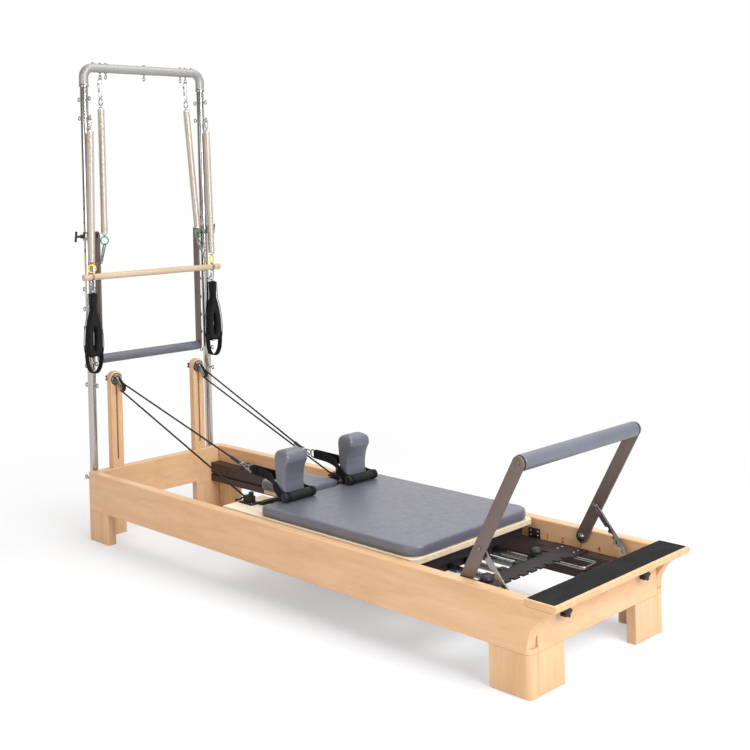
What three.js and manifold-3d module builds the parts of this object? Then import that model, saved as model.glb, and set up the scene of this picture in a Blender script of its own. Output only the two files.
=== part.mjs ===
// A wooden reformer bed with a tube tower at its head end.
// Millimetres, +Z up. +X runs from the head end to the foot end, the near side is -Y.
// While it is being built, X = 0 is the outer face of the head end, Y = 0 is the middle
// of the bed and Z = 0 is the floor. The last lines move X to the middle of the whole.

import * as THREE from 'three'
import { mergeVertices } from 'three/addons/utils/BufferGeometryUtils.js'
import Module from 'manifold-3d'

// Sizes, in millimetres.

const seat = 0.3 // gap between pieces that touch
const turnFit = 0.6 // gap round a pin that turns
const overrun = 5 // how far a cutting tool passes the face that it cuts
const sink = 2 // how far a fused detail reaches into the piece that carries it
const weld = 0.0001

const bed = {
  length: 2400, width: 680, top: 282, timber: 38, edge: 2.5, cornerRadius: 20,
  railBottom: 127, legLong: 156, legWide: 160, headArch: 140, footArch: 126,
  ledge: 142, coveInset: 8, coveControlHeight: 215, wingNose: 86, wingNoseHeight: 263,
}
const platform = {
  back: 2388, front: 2500, thick: 20, edge: 6, side: 1, underside: 268,
  tapeThick: 1.6, tapeBackEdge: 3, tapeFrontEdge: 10, tapeSideEdge: 6,
}
const starKnob = { radius: 19, lobe: 3, depth: 22, neck: 9, neckLength: 12, stem: 5 }
const platformKnob = { side: 200, height: 221, bore: 20 }
const track = {
  wide: 44, bottom: 131, top: 213, groove: 14, grooveDepth: 8, lip: 3,
  bolt: 7, boltHead: 3, boltHeight: 182,
}
const bumper = { start: 246, long: 36, wide: 30, high: 22, inset: 4, edge: 4 }
const stopPlate = { start: 1876, long: 48, high: 33, thick: 4, screw: 4, screwHead: 2, screwInset: 9 }
const trackBoltShares = [0.05, 0.36, 0.67, 0.95]
const springBar = {
  start: 2000, end: 2140, armWide: 96, middleStart: 2046, middleEnd: 2128, thick: 6,
  notchWide: 13, notchDeep: 17, notches: 9, flangeThick: 6, flangeDrop: 26,
  stud: 4.5, studLong: 26, overTrack: 32, screw: 4, screwHead: 2,
  handleRod: 5, handleStart: 150, handleWide: 74, handleLong: 96,
}
const carriage = {
  front: 1905, back: 900, recess: 1105, recessHalf: 112, sideGap: 6, boardThick: 20, boardBottom: 265,
  corner: 18, frameStart: 1150, frameEnd: 1880, frameHalf: 255, bar: 30, crossBar: 40, frameHigh: 38,
  anchorThick: 6, anchorDrop: 40, anchorHalf: 200,
  wheel: 23, wheelWide: 16, wheelInset: 17, axle: 5, rearAxle: 60, frontAxle: 60, tyre: 2,
}
const pad = {
  back: 1122, sideGap: 4, frontGap: 5, high: 36.2, crown: 3.7, headCorner: 16, footCorner: 58, roundness: 10,
}
const headrest = {
  start: 858, end: 1097, half: 98, boardThick: 14, high: 33, crown: 5, corner: 34, roundness: 9,
  lift: 1, pin: 6, pinX: 1088, pinHeight: 275, lug: 9, lugWide: 14, lugInset: 24,
}
const rest = {
  side: 154, half: 50, back: 1092, front: 1147, bulge: 1166, waistHeight: 406, bulgeHeight: 474,
  ridge: 1110, top: 504, edge: 9,
}
const restBracket = {
  start: 905, plateThick: 7, plateInner: 126, plateOuter: 236, uprightThick: 6, uprightHalf: 28, uprightTop: 430,
  cleatX: 932, cleatSide: 214, cleatLong: 44, cleatWide: 26, cleatHigh: 22, cam: 9, camHigh: 14,
}
const carriageSpring = { radius: 13, wire: 2.2, height: 196, spread: 75, curls: 3, tail: 6 }
const rope = { radius: 3.5, sleeve: 6.5, sleeveLong: 56 }
const strap = {
  wide: 34, thick: 3, ringX: 888, ringHeight: 392, ring: 15, ringWire: 3, foldLong: 15, foldHalf: 8,
  gripX: 1167, grip: 16, gripHalf: 58, clear: 3, hookRod: 3.6, hookWire: 2.6, hookEye: 7, hookReach: 46, hookRise: 12,
}
const riser = { side: 208, half: 27, thick: 30, top: 691, slotHalf: 3.6, slotLift: 34, slotDrop: 17, clampDrop: 34 }
const riserKnob = { radius: 16, lobe: 3, depth: 18, neckLength: 6, stem: 3.2 }
const swivel = { disc: 20, discThick: 6, plate: 2.5, plateGap: 7.2, block: 12, blockHalf: 12, axle: 4, nose: 9 }
const pulley = { x: 78, side: 208, drop: 30, bore: 4.3, groove: 14, grooveHalf: 4.6, rim: 18.5, half: 6.5 }
const footbar = {
  pivotX: 2112, pivotHeight: 259, reach: 452, lean: 30, armWide: 44, armThick: 8, armGap: 6, core: 12,
  rollerRadius: 24.5, rollerEnd: 4, bolt: 10, boltHead: 5, pin: 10, pinBore: 20, propPin: 133, propPinRadius: 6,
  propBoltHead: 4,
}
const prop = {
  wide: 22, thick: 5, reach: 166, notchPitch: 25, notches: 4, notch: 6.6, notchAt: 9, armGap: 2,
  pinX: 2256, pinHeight: 269, pin: 6, pinFlange: 11, pinFlangeThick: 3, pinBore: 14, pinReach: 24,
}
const tower = {
  postX: -21, postSide: 294, post: 17, postBottom: 60, sleeveLong: 74, socket: 34, sleeve: 19.5,
  topHeight: 1990, bend: 42, hole: 4.5, saddleHalf: 26, saddleHigh: 46, saddleScrew: 4, saddleScrewInset: 6,
  saddleScrewHead: 3,
}
const postHoleHeights = [1212, 1330, 1390]
const saddleHeights = [86, 218]
const eye = { ring: 8, wire: 2.3, reach: 43, shank: 3, nut: 7, nutHigh: 7, drop: 38 }
// How far the eyebolts lie below the foot of the top tube.
const backEyeDrops = [61, 141, 871, 956, 1038, 1118, 1199, 1279]
const frontEyeDrops = [61, 141, 868, 1184, 1276]
const lowEye = { height: 240, reach: 66, knob: 9, knobLong: 22 }
const topEyeSides = [-216, -189, 0, 189, 216]
const topNutSides = [-249, 249]
const collar = {
  height: 1272, radius: 26, half: 22, pivot: 8, armGap: 13, handleStem: 5, handleReach: 30, handleHalf: 24,
  handleLean: 12,
}
const pushBar = { armWide: 38, armThick: 8, barHeight: 745, core: 11, pad: 20, bolt: 7, boltHead: 4 }
const spring = { radius: 13, wire: 2.4, curls: 9, tail: 6 }
const link = { ring: 15, wire: 2.6, clip: 3.2, innerDrop: 145, innerSide: 216, innerBottom: 1282 }
const innerFoot = { x: 14, side: 236, eyeX: 21, eyeSide: 257.5, eyeHeight: 1152 }
const rollBar = {
  height: 1100, radius: 13.7, half: 345, clipSide: 304, collarRing: 15.2, collarWire: 2.2, yellowRing: 16,
  hookLong: 52, hookHalf: 9,
}
const loop = {
  side: 304, thick: 36, neckHalf: 12, neckBottom: 950, widest: 800, half: 47, bottom: 694,
  slotTop: 888, slotBottom: 790, slotHalf: 11, padBottom: 776, openBottom: 706, openHalf: 30, openTop: 792,
}

const derived = {}
derived.half = bed.width / 2
derived.inner = derived.half - bed.timber
derived.trackInner = derived.inner - seat - track.wide
derived.boardTop = carriage.boardBottom + carriage.boardThick
derived.wheelHeight = track.top + seat + carriage.wheel
derived.headInner = bed.timber
derived.footInner = bed.length - bed.timber
derived.eyeX = tower.postX + eye.reach
derived.padTop = derived.boardTop + seat + pad.high + pad.crown
derived.gripHeight = derived.padTop + seat + strap.grip
derived.slotStart = bed.top + riser.slotLift
derived.slotEnd = riser.top - riser.slotDrop
derived.clampHeight = riser.top - riser.clampDrop
derived.pulleyHeight = derived.clampHeight - pulley.drop
derived.sleeveBottom = tower.topHeight - tower.sleeveLong
derived.backEyeHeights = backEyeDrops.map((drop) => derived.sleeveBottom - drop)
derived.frontEyeHeights = frontEyeDrops.map((drop) => derived.sleeveBottom - drop)
derived.innerTop = tower.topHeight - link.innerDrop

// Materials.

const paint = (color, roughness, metalness = 0) => new THREE.MeshStandardMaterial({ color, roughness, metalness })
const wood = paint(0xe6bd92, 0.55)
const paleWood = paint(0xe9d6b4, 0.5)
const tape = paint(0x2b2f31, 0.95)
const blackPlastic = paint(0x18181a, 0.5)
const bronze = paint(0x3a2e2b, 0.4, 0.6)
const armBronze = paint(0x76625d, 0.45, 0.5)
const steel = paint(0xb9b6b0, 0.35, 0.9)
const springSteel = paint(0xbdb09d, 0.4, 0.8)
const vinyl = paint(0x8d8f99, 0.6)
const webbing = paint(0x121213, 0.9)
const ropeBlack = paint(0x151515, 0.85)

// Geometry helpers.

const wasm = await Module()
wasm.setup()

const vec = (x, y, z) => new THREE.Vector3(x, y, z)

const asSolid = (geometry) => {
  const loose = geometry.index ? geometry.toNonIndexed() : geometry.clone()
  for (const name of Object.keys(loose.attributes)) if (name !== 'position') loose.deleteAttribute(name)
  const merged = mergeVertices(loose, weld)
  const corners = []
  for (let i = 0; i < merged.index.count; i += 3) {
    const [a, b, c] = [merged.index.getX(i), merged.index.getX(i + 1), merged.index.getX(i + 2)]
    if (a !== b && b !== c && c !== a) corners.push(a, b, c)
  }
  return new wasm.Manifold(new wasm.Mesh({
    numProp: 3, vertProperties: new Float32Array(merged.attributes.position.array), triVerts: new Uint32Array(corners),
  }))
}

const asGeometry = (solid) => {
  const mesh = solid.getMesh()
  const geometry = new THREE.BufferGeometry()
  geometry.setAttribute('position', new THREE.BufferAttribute(new Float32Array(mesh.vertProperties), mesh.numProp))
  geometry.setIndex(new THREE.BufferAttribute(new Uint32Array(mesh.triVerts), 1))
  return geometry
}

const fuse = (...pieces) => asGeometry(pieces.map(asSolid).reduce((sum, piece) => sum.add(piece)))
const cut = (piece, ...tools) => asGeometry(tools.map(asSolid).reduce((rest, tool) => rest.subtract(tool), asSolid(piece)))

const box = (x0, x1, y0, y1, z0, z1) => {
  const geometry = new THREE.BoxGeometry(Math.abs(x1 - x0), Math.abs(y1 - y0), Math.abs(z1 - z0))
  return geometry.translate((x0 + x1) / 2, (y0 + y1) / 2, (z0 + z1) / 2)
}

const rod = (from, to, radius, sides = 8) => {
  const way = to.clone().sub(from)
  const geometry = new THREE.CylinderGeometry(radius, radius, way.length(), sides)
  geometry.applyQuaternion(new THREE.Quaternion().setFromUnitVectors(vec(0, 1, 0), way.clone().normalize()))
  const middle = from.clone().add(to).multiplyScalar(0.5)
  return geometry.translate(middle.x, middle.y, middle.z)
}

const ring = (radius, wire, centre, axis, steps = 8, sides = 4) => {
  const geometry = new THREE.TorusGeometry(radius, wire, sides, steps).rotateZ(Math.PI / 2)
  geometry.applyQuaternion(new THREE.Quaternion().setFromUnitVectors(vec(0, 0, 1), axis.clone().normalize()))
  return geometry.translate(centre.x, centre.y, centre.z)
}

// A flat outline pushed out by a depth, with its edges broken by a small bevel.
const slab = (shape, depth, bevel = 0, curveSegments = 6) => {
  const geometry = new THREE.ExtrudeGeometry(shape, {
    depth: depth - 2 * bevel, bevelEnabled: bevel > 0, bevelThickness: bevel, bevelSize: bevel,
    bevelOffset: -bevel, bevelSegments: 1, steps: 1, curveSegments,
  })
  return geometry.translate(0, 0, bevel)
}
// The outline's axes become X and Z, and its depth runs from y to y + depth.
const acrossY = (shape, depth, y, bevel, segments) =>
  slab(shape, depth, bevel, segments).rotateX(Math.PI / 2).translate(0, y + depth, 0)
// The outline's axes become Y and Z, and its depth runs from x to x + depth.
const acrossX = (shape, depth, x, bevel, segments) =>
  slab(shape, depth, bevel, segments).rotateX(Math.PI / 2).rotateZ(Math.PI / 2).translate(x, 0, 0)

const polygon = (points) => new THREE.Shape(points.map(([a, b]) => new THREE.Vector2(a, b)))

// A route with a step at each of its points, and mitred bends.
class Route extends THREE.Curve {
  constructor(points) {
    super()
    this.points = points
  }
  getPointAt(share) {
    return this.points[Math.round(share * (this.points.length - 1))].clone()
  }
  getTangentAt(share) {
    const i = Math.round(share * (this.points.length - 1))
    const ways = [[i - 1, i], [i, i + 1]].filter(([a, b]) => this.points[a] && this.points[b])
      .map(([a, b]) => this.points[b].clone().sub(this.points[a]).normalize())
    return ways.reduce((sum, way) => sum.add(way)).normalize()
  }
}
const tube = (points, radius, sides = 8) => {
  const section = polygon(Array.from({ length: sides }, (_, k) => {
    const turn = (2 * Math.PI * k) / sides
    return [radius * Math.cos(turn), radius * Math.sin(turn)]
  }))
  return new THREE.ExtrudeGeometry(section, { steps: points.length - 1, extrudePath: new Route(points), bevelEnabled: false })
}

// A tube of flat sides that follows a list of points, closed at both ends.
const sweep = (points, radius, sides = 8) => {
  const ways = points.map((p, i) => {
    const before = points[Math.max(i - 1, 0)]
    const after = points[Math.min(i + 1, points.length - 1)]
    return after.clone().sub(before).normalize()
  })
  const start = Math.abs(ways[0].z) < 0.9 ? vec(0, 0, 1) : vec(1, 0, 0)
  let side = start.sub(ways[0].clone().multiplyScalar(start.dot(ways[0]))).normalize()
  const positions = []
  const faces = []
  points.forEach((p, i) => {
    side = side.sub(ways[i].clone().multiplyScalar(side.dot(ways[i]))).normalize()
    const other = ways[i].clone().cross(side)
    for (let k = 0; k < sides; k++) {
      const turn = (2 * Math.PI * k) / sides
      const at = p.clone().addScaledVector(side, radius * Math.cos(turn)).addScaledVector(other, radius * Math.sin(turn))
      positions.push(at.x, at.y, at.z)
    }
    for (let k = 0; k < sides && i > 0; k++) {
      const [a, b] = [(i - 1) * sides + k, (i - 1) * sides + ((k + 1) % sides)]
      faces.push(a, b, b + sides, a, b + sides, a + sides)
    }
  })
  const last = (points.length - 1) * sides
  for (let k = 1; k < sides - 1; k++) faces.push(0, k + 1, k, last, last + k, last + k + 1)
  const geometry = new THREE.BufferGeometry()
  geometry.setAttribute('position', new THREE.Float32BufferAttribute(positions, 3))
  geometry.setIndex(faces)
  return geometry
}

// Stacked rings of the same number of points, closed at both ends.
const loft = (rings) => {
  const count = rings[0].length
  const positions = []
  const faces = []
  rings.forEach((points, i) => {
    for (const p of points) positions.push(p.x, p.y, p.z)
    for (let k = 0; k < count && i > 0; k++) {
      const [a, b] = [(i - 1) * count + k, (i - 1) * count + ((k + 1) % count)]
      faces.push(a, b, b + count, a, b + count, a + count)
    }
  })
  const last = (rings.length - 1) * count
  for (let k = 1; k < count - 1; k++) faces.push(0, k + 1, k, last, last + k, last + k + 1)
  const geometry = new THREE.BufferGeometry()
  geometry.setAttribute('position', new THREE.Float32BufferAttribute(positions, 3))
  geometry.setIndex(faces)
  return geometry
}

// The least gap of a coiled tube to itself, measured between points more than half a turn apart.
const leastGap = (points, wire, skip) => {
  let least = Infinity
  for (let i = 0; i < points.length; i++)
    for (let j = i + skip; j < points.length; j++) least = Math.min(least, points[i].distanceTo(points[j]))
  return least - 2 * wire
}

// A coil spring between two points: straight tails, then curls of 8 steps.
const coilSteps = 8
const bendSteps = 4
const cushionCornerSteps = 5
const cornerFloorShare = 0.3
const cushionShares = [[0.35, 0], [0.05, 0.12], [0, 0.4], [0.12, 0.72], [0.45, 0.93], [1, 1]]
const crownShares = [[0.8, 0.6], [0.4, 1]]
const ropeArcSteps = 8
const strapShares = [[0, 0, 0], [0.25, 0, 0.35], [0.5, 0.1, 0.8], [0.68, 0.35, 1], [0.84, 0.8, 1], [1, 1, 1]]
const coilSides = 5
const coil = (name, from, to, radius, wire, curls, tail) => {
  const way = to.clone().sub(from)
  const length = way.length()
  const turn = new THREE.Quaternion().setFromUnitVectors(vec(0, 0, 1), way.clone().normalize())
  const points = [vec(0, 0, 0), vec(0, 0, tail)]
  const run = length - 4 * tail
  const turns = []
  for (let i = 0; i <= curls * coilSteps; i++) {
    const angle = (2 * Math.PI * i) / coilSteps
    turns.push(vec(radius * Math.cos(angle), radius * Math.sin(angle), 2 * tail + (run * i) / (curls * coilSteps)))
  }
  points.push(...turns, vec(0, 0, length - tail), vec(0, 0, length))
  console.log(`${name}: ${curls} curls, least gap between turns ${leastGap(turns, wire, coilSteps / 2 + 1).toFixed(2)} mm`)
  const geometry = sweep(points, wire, coilSides)
  geometry.applyQuaternion(turn)
  return geometry.translate(from.x, from.y, from.z)
}

// A cushion over a rounded rectangle: drawn in at its foot, full at its side, crowned on top.
const cushion = (x0, x1, half, bottom, high, crown, cornerAt, roundness) => {
  const outline = (inset) => {
    const [back, front, side] = [x0 + inset, x1 - inset, half - inset]
    const foot = Math.max(cornerAt.foot - inset, roundness * cornerFloorShare)
    const head = Math.max(cornerAt.head - inset, roundness * cornerFloorShare)
    const corners = [
      [front - foot, -side + foot, foot], [front - foot, side - foot, foot],
      [back + head, side - head, head], [back + head, -side + head, head],
    ]
    return corners.flatMap(([x, y, r], corner) => Array.from({ length: cushionCornerSteps + 1 }, (_, k) => {
      const angle = (Math.PI / 2) * (corner - 1 + k / cushionCornerSteps)
      return [x + r * Math.cos(angle), y + r * Math.sin(angle)]
    }))
  }
  const rings = cushionShares.map(([inset, rise]) =>
    outline(inset * roundness).map(([x, y]) => vec(x, y, bottom + rise * high)))
  const centre = [(x0 + x1) / 2, 0]
  for (const [share, rise] of crownShares)
    rings.push(outline(roundness).map(([x, y]) =>
      vec(centre[0] + (x - centre[0]) * share, centre[1] + (y - centre[1]) * share, bottom + high + crown * rise)))
  return loft(rings)
}

const knobOutline = (radius, lobe, lobes = 5, points = 20) => {
  const shape = []
  for (let i = 0; i < points; i++) {
    const angle = (2 * Math.PI * i) / points
    const reach = radius - lobe + lobe * Math.cos(lobes * angle)
    shape.push([reach * Math.cos(angle), reach * Math.sin(angle)])
  }
  return polygon(shape)
}

const part = new THREE.Group()
const groups = {}
for (const name of ['bed', 'carriage', 'footbar', 'risers', 'tower']) {
  groups[name] = new THREE.Group()
  part.add(groups[name])
}
const add = (group, name, geometry, material, at = vec(0, 0, 0)) => {
  const mesh = new THREE.Mesh(geometry, material)
  mesh.name = name
  mesh.position.copy(at)
  groups[group].add(mesh)
  return mesh
}
const sides = [['near', -1], ['far', 1]]

// The bed: side rails with their legs, end boards, standing platform and tracks.

const cornerCutter = (x, y, inwardX, inwardY, z0, z1) => {
  const r = bed.cornerRadius
  const points = [[-overrun, -overrun], [r, -overrun], [r, 0]]
  for (let k = 1; k < coilSteps; k++) {
    const angle = -Math.PI / 2 - ((Math.PI / 2) * k) / coilSteps
    points.push([r + r * Math.cos(angle), r + r * Math.sin(angle)])
  }
  points.push([0, r], [-overrun, r])
  return slab(polygon(points.map(([u, v]) => [x + inwardX * u, y + inwardY * v])), z1 - z0).translate(0, 0, z0)
}

const railOutline = () => {
  const shape = new THREE.Shape()
  const footLeg = bed.length - bed.legLong
  const cove = bed.length - bed.coveInset
  shape.moveTo(0, 0)
  shape.lineTo(bed.legLong, 0)
  shape.lineTo(bed.legLong, bed.railBottom)
  shape.lineTo(footLeg, bed.railBottom)
  shape.lineTo(footLeg, 0)
  shape.lineTo(bed.length, 0)
  shape.lineTo(bed.length, bed.ledge)
  shape.lineTo(cove, bed.ledge)
  shape.quadraticCurveTo(cove, bed.coveControlHeight, bed.length + bed.wingNose, bed.wingNoseHeight)
  shape.lineTo(bed.length + bed.wingNose, platform.underside)
  shape.lineTo(platform.back, platform.underside)
  shape.lineTo(platform.back, bed.top)
  shape.lineTo(0, bed.top)
  return shape
}

for (const [name, side] of sides) {
  const y = side < 0 ? -derived.half : derived.inner
  const face = side * derived.half
  const inner = side * derived.inner
  const rail = cut(
    acrossY(railOutline(), bed.timber, y, bed.edge, 6),
    cornerCutter(0, face, 1, -side, -overrun, bed.top + overrun),
    cornerCutter(bed.length, face, -1, -side, -overrun, bed.ledge),
    rod(vec(footbar.pivotX, inner - side * overrun, footbar.pivotHeight),
      vec(footbar.pivotX, inner + side * footbar.pinBore, footbar.pivotHeight), footbar.pin + seat, 16),
    rod(vec(prop.pinX, inner - side * overrun, prop.pinHeight),
      vec(prop.pinX, inner + side * prop.pinBore, prop.pinHeight), prop.pin + seat, 12),
  )
  const plateEnd = stopPlate.start + stopPlate.long
  const plateBottom = track.top + seat
  const plateTop = track.top + stopPlate.high
  const screws = []
  for (const x of [stopPlate.start + stopPlate.screwInset, plateEnd - stopPlate.screwInset])
    for (const z of [plateBottom + stopPlate.screwInset, plateTop - stopPlate.screwInset])
      screws.push(rod(vec(x, inner + side * sink, z),
        vec(x, inner - side * (stopPlate.thick + stopPlate.screwHead), z), stopPlate.screw, 6))
  add('bed', `${name}_side_rail`, fuse(rail,
    box(stopPlate.start, plateEnd, inner + side * sink, inner - side * stopPlate.thick, plateBottom, plateTop),
    ...screws), wood)
}

const endBoardOutline = (arch, top) => {
  const edge = derived.inner - seat
  const leg = derived.half - bed.legWide
  return polygon([[-edge, 0], [-leg, 0], [-leg, arch], [leg, arch], [leg, 0], [edge, 0], [edge, top], [-edge, top]])
}
add('bed', 'head_end_board', acrossX(endBoardOutline(bed.headArch, bed.top), bed.timber, 0, bed.edge), wood)
add('bed', 'foot_end_board', cut(
  acrossX(endBoardOutline(bed.footArch, platform.underside - seat), bed.timber, derived.footInner, bed.edge),
  ...sides.map(([, side]) => rod(vec(bed.length - platformKnob.bore, side * platformKnob.side, platformKnob.height),
    vec(bed.length + overrun, side * platformKnob.side, platformKnob.height), starKnob.stem + turnFit, 12)),
), wood)

const platformTop = platform.underside + seat + platform.thick
const platformOutline = polygon([
  [platform.back + seat, platform.underside + seat], [platform.front - platform.edge, platform.underside + seat],
  [platform.front, platform.underside + seat + platform.edge], [platform.front, platformTop - platform.edge],
  [platform.front - platform.edge, platformTop], [platform.back + seat, platformTop],
])
const platformHalf = derived.half + platform.side
const tapeHalf = platformHalf - platform.tapeSideEdge
add('bed', 'standing_platform', fuse(
  acrossY(platformOutline, 2 * platformHalf, -platformHalf, platform.side),
  box(platform.back + platform.tapeBackEdge, platform.front - platform.tapeFrontEdge, -tapeHalf, tapeHalf,
    platformTop - sink, platformTop + platform.tapeThick)), wood)
for (const [name, side] of sides) {
  const neckStart = bed.length + seat
  const headStart = neckStart + starKnob.neckLength
  const geometry = fuse(
    acrossX(knobOutline(starKnob.radius, starKnob.lobe), starKnob.depth, headStart),
    rod(vec(neckStart, 0, 0), vec(headStart + sink, 0, 0), starKnob.neck),
    rod(vec(bed.length - platformKnob.bore + seat, 0, 0), vec(headStart + sink, 0, 0), starKnob.stem))
  add('bed', `${name}_platform_knob`, geometry, blackPlastic, vec(0, side * platformKnob.side, platformKnob.height))
}

// A track is one solid rail with a long groove and its bolt heads. The end stop stands on it.
for (const [name, side] of sides) {
  const outer = side * (derived.inner - seat)
  const inner = side * derived.trackInner
  const middle = (track.bottom + track.top) / 2
  const start = derived.headInner + seat
  const end = derived.footInner - seat
  const bolts = trackBoltShares.map((share) => start + (end - start) * share)
  const body = cut(
    box(start, end, inner, outer, track.bottom, track.top),
    box(start - overrun, end + overrun, inner - side * overrun, inner + side * track.grooveDepth,
      middle - track.groove, middle - track.lip))
  add('bed', `${name}_track`, fuse(body,
    ...bolts.map((x) => rod(vec(x, inner + side * sink, track.boltHeight),
      vec(x, inner - side * track.boltHead, track.boltHeight), track.bolt, 6))), bronze)
  const bumperOuter = outer - side * bumper.inset
  const bumperBottom = track.top + seat
  const bumperTop = track.top + bumper.high
  const bumperEnd = bumper.start + bumper.long
  add('bed', `${name}_bumper`, acrossY(polygon([
    [bumper.start, bumperBottom], [bumperEnd, bumperBottom], [bumperEnd, bumperTop - bumper.edge],
    [bumperEnd - bumper.edge, bumperTop], [bumper.start + bumper.edge, bumperTop], [bumper.start, bumperTop - bumper.edge],
  ]), bumper.wide, Math.min(bumperOuter, bumperOuter - side * bumper.wide), 0), blackPlastic)
}

// The spring bar lies across both tracks. Its front edge is cut into open hooks.
{
  const reach = derived.trackInner + springBar.overTrack
  const bottom = track.top + seat
  const top = bottom + springBar.thick
  const armInner = reach - springBar.armWide
  const pitch = (2 * armInner) / springBar.notches
  const plate = polygon([
    [springBar.start, -reach], [springBar.end, -reach], [springBar.end, -armInner], [springBar.middleEnd, -armInner],
    [springBar.middleEnd, armInner], [springBar.end, armInner], [springBar.end, reach], [springBar.start, reach],
    [springBar.start, armInner], [springBar.middleStart, armInner], [springBar.middleStart, -armInner],
    [springBar.start, -armInner],
  ])
  const notches = []
  for (let i = 0; i < springBar.notches; i++) {
    const y = -armInner + pitch * (i + 0.5)
    notches.push(box(springBar.middleEnd - springBar.notchDeep, springBar.middleEnd + overrun,
      y - springBar.notchWide / 2, y + springBar.notchWide / 2, bottom - overrun, top + overrun))
  }
  const studs = []
  for (let i = -2; i <= 2; i++) {
    const y = i * carriageSpring.spread
    studs.push(rod(vec(springBar.middleStart + sink, y, carriageSpring.height),
      vec(springBar.middleStart - springBar.studLong, y, carriageSpring.height), springBar.stud, 6))
  }
  const screws = []
  for (const [, side] of sides)
    for (const x of [springBar.start + springBar.armWide / 2, springBar.end - springBar.armWide / 4])
      for (const y of [reach - springBar.armWide / 2, reach - springBar.armWide / 4])
        screws.push(rod(vec(x, side * y, top - sink), vec(x, side * y, top + springBar.screwHead), springBar.screw, 6))
  const rodZ = bottom - springBar.handleRod / 2
  const y0 = springBar.handleStart
  const y1 = springBar.handleStart + springBar.handleWide
  const x1 = springBar.middleEnd + springBar.handleLong
  const bend = springBar.handleRod * 2
  const handle = tube([
    vec(springBar.middleEnd - springBar.notchDeep - bend, y0, rodZ), vec(x1 - bend, y0, rodZ), vec(x1, y0 + bend, rodZ),
    vec(x1, y1 - bend, rodZ), vec(x1 - bend, y1, rodZ), vec(springBar.end - bend, y1, rodZ),
  ], springBar.handleRod)
  add('bed', 'spring_bar', fuse(
    cut(slab(plate, springBar.thick).translate(0, 0, bottom), ...notches),
    box(springBar.middleStart, springBar.middleStart + springBar.flangeThick, -armInner, armInner,
      bottom - springBar.flangeDrop, bottom + sink),
    ...studs, ...screws, handle), bronze)
}

// The carriage: board, steel frame, two wheel sets, pads, headrest, shoulder rests and their brackets.

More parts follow.
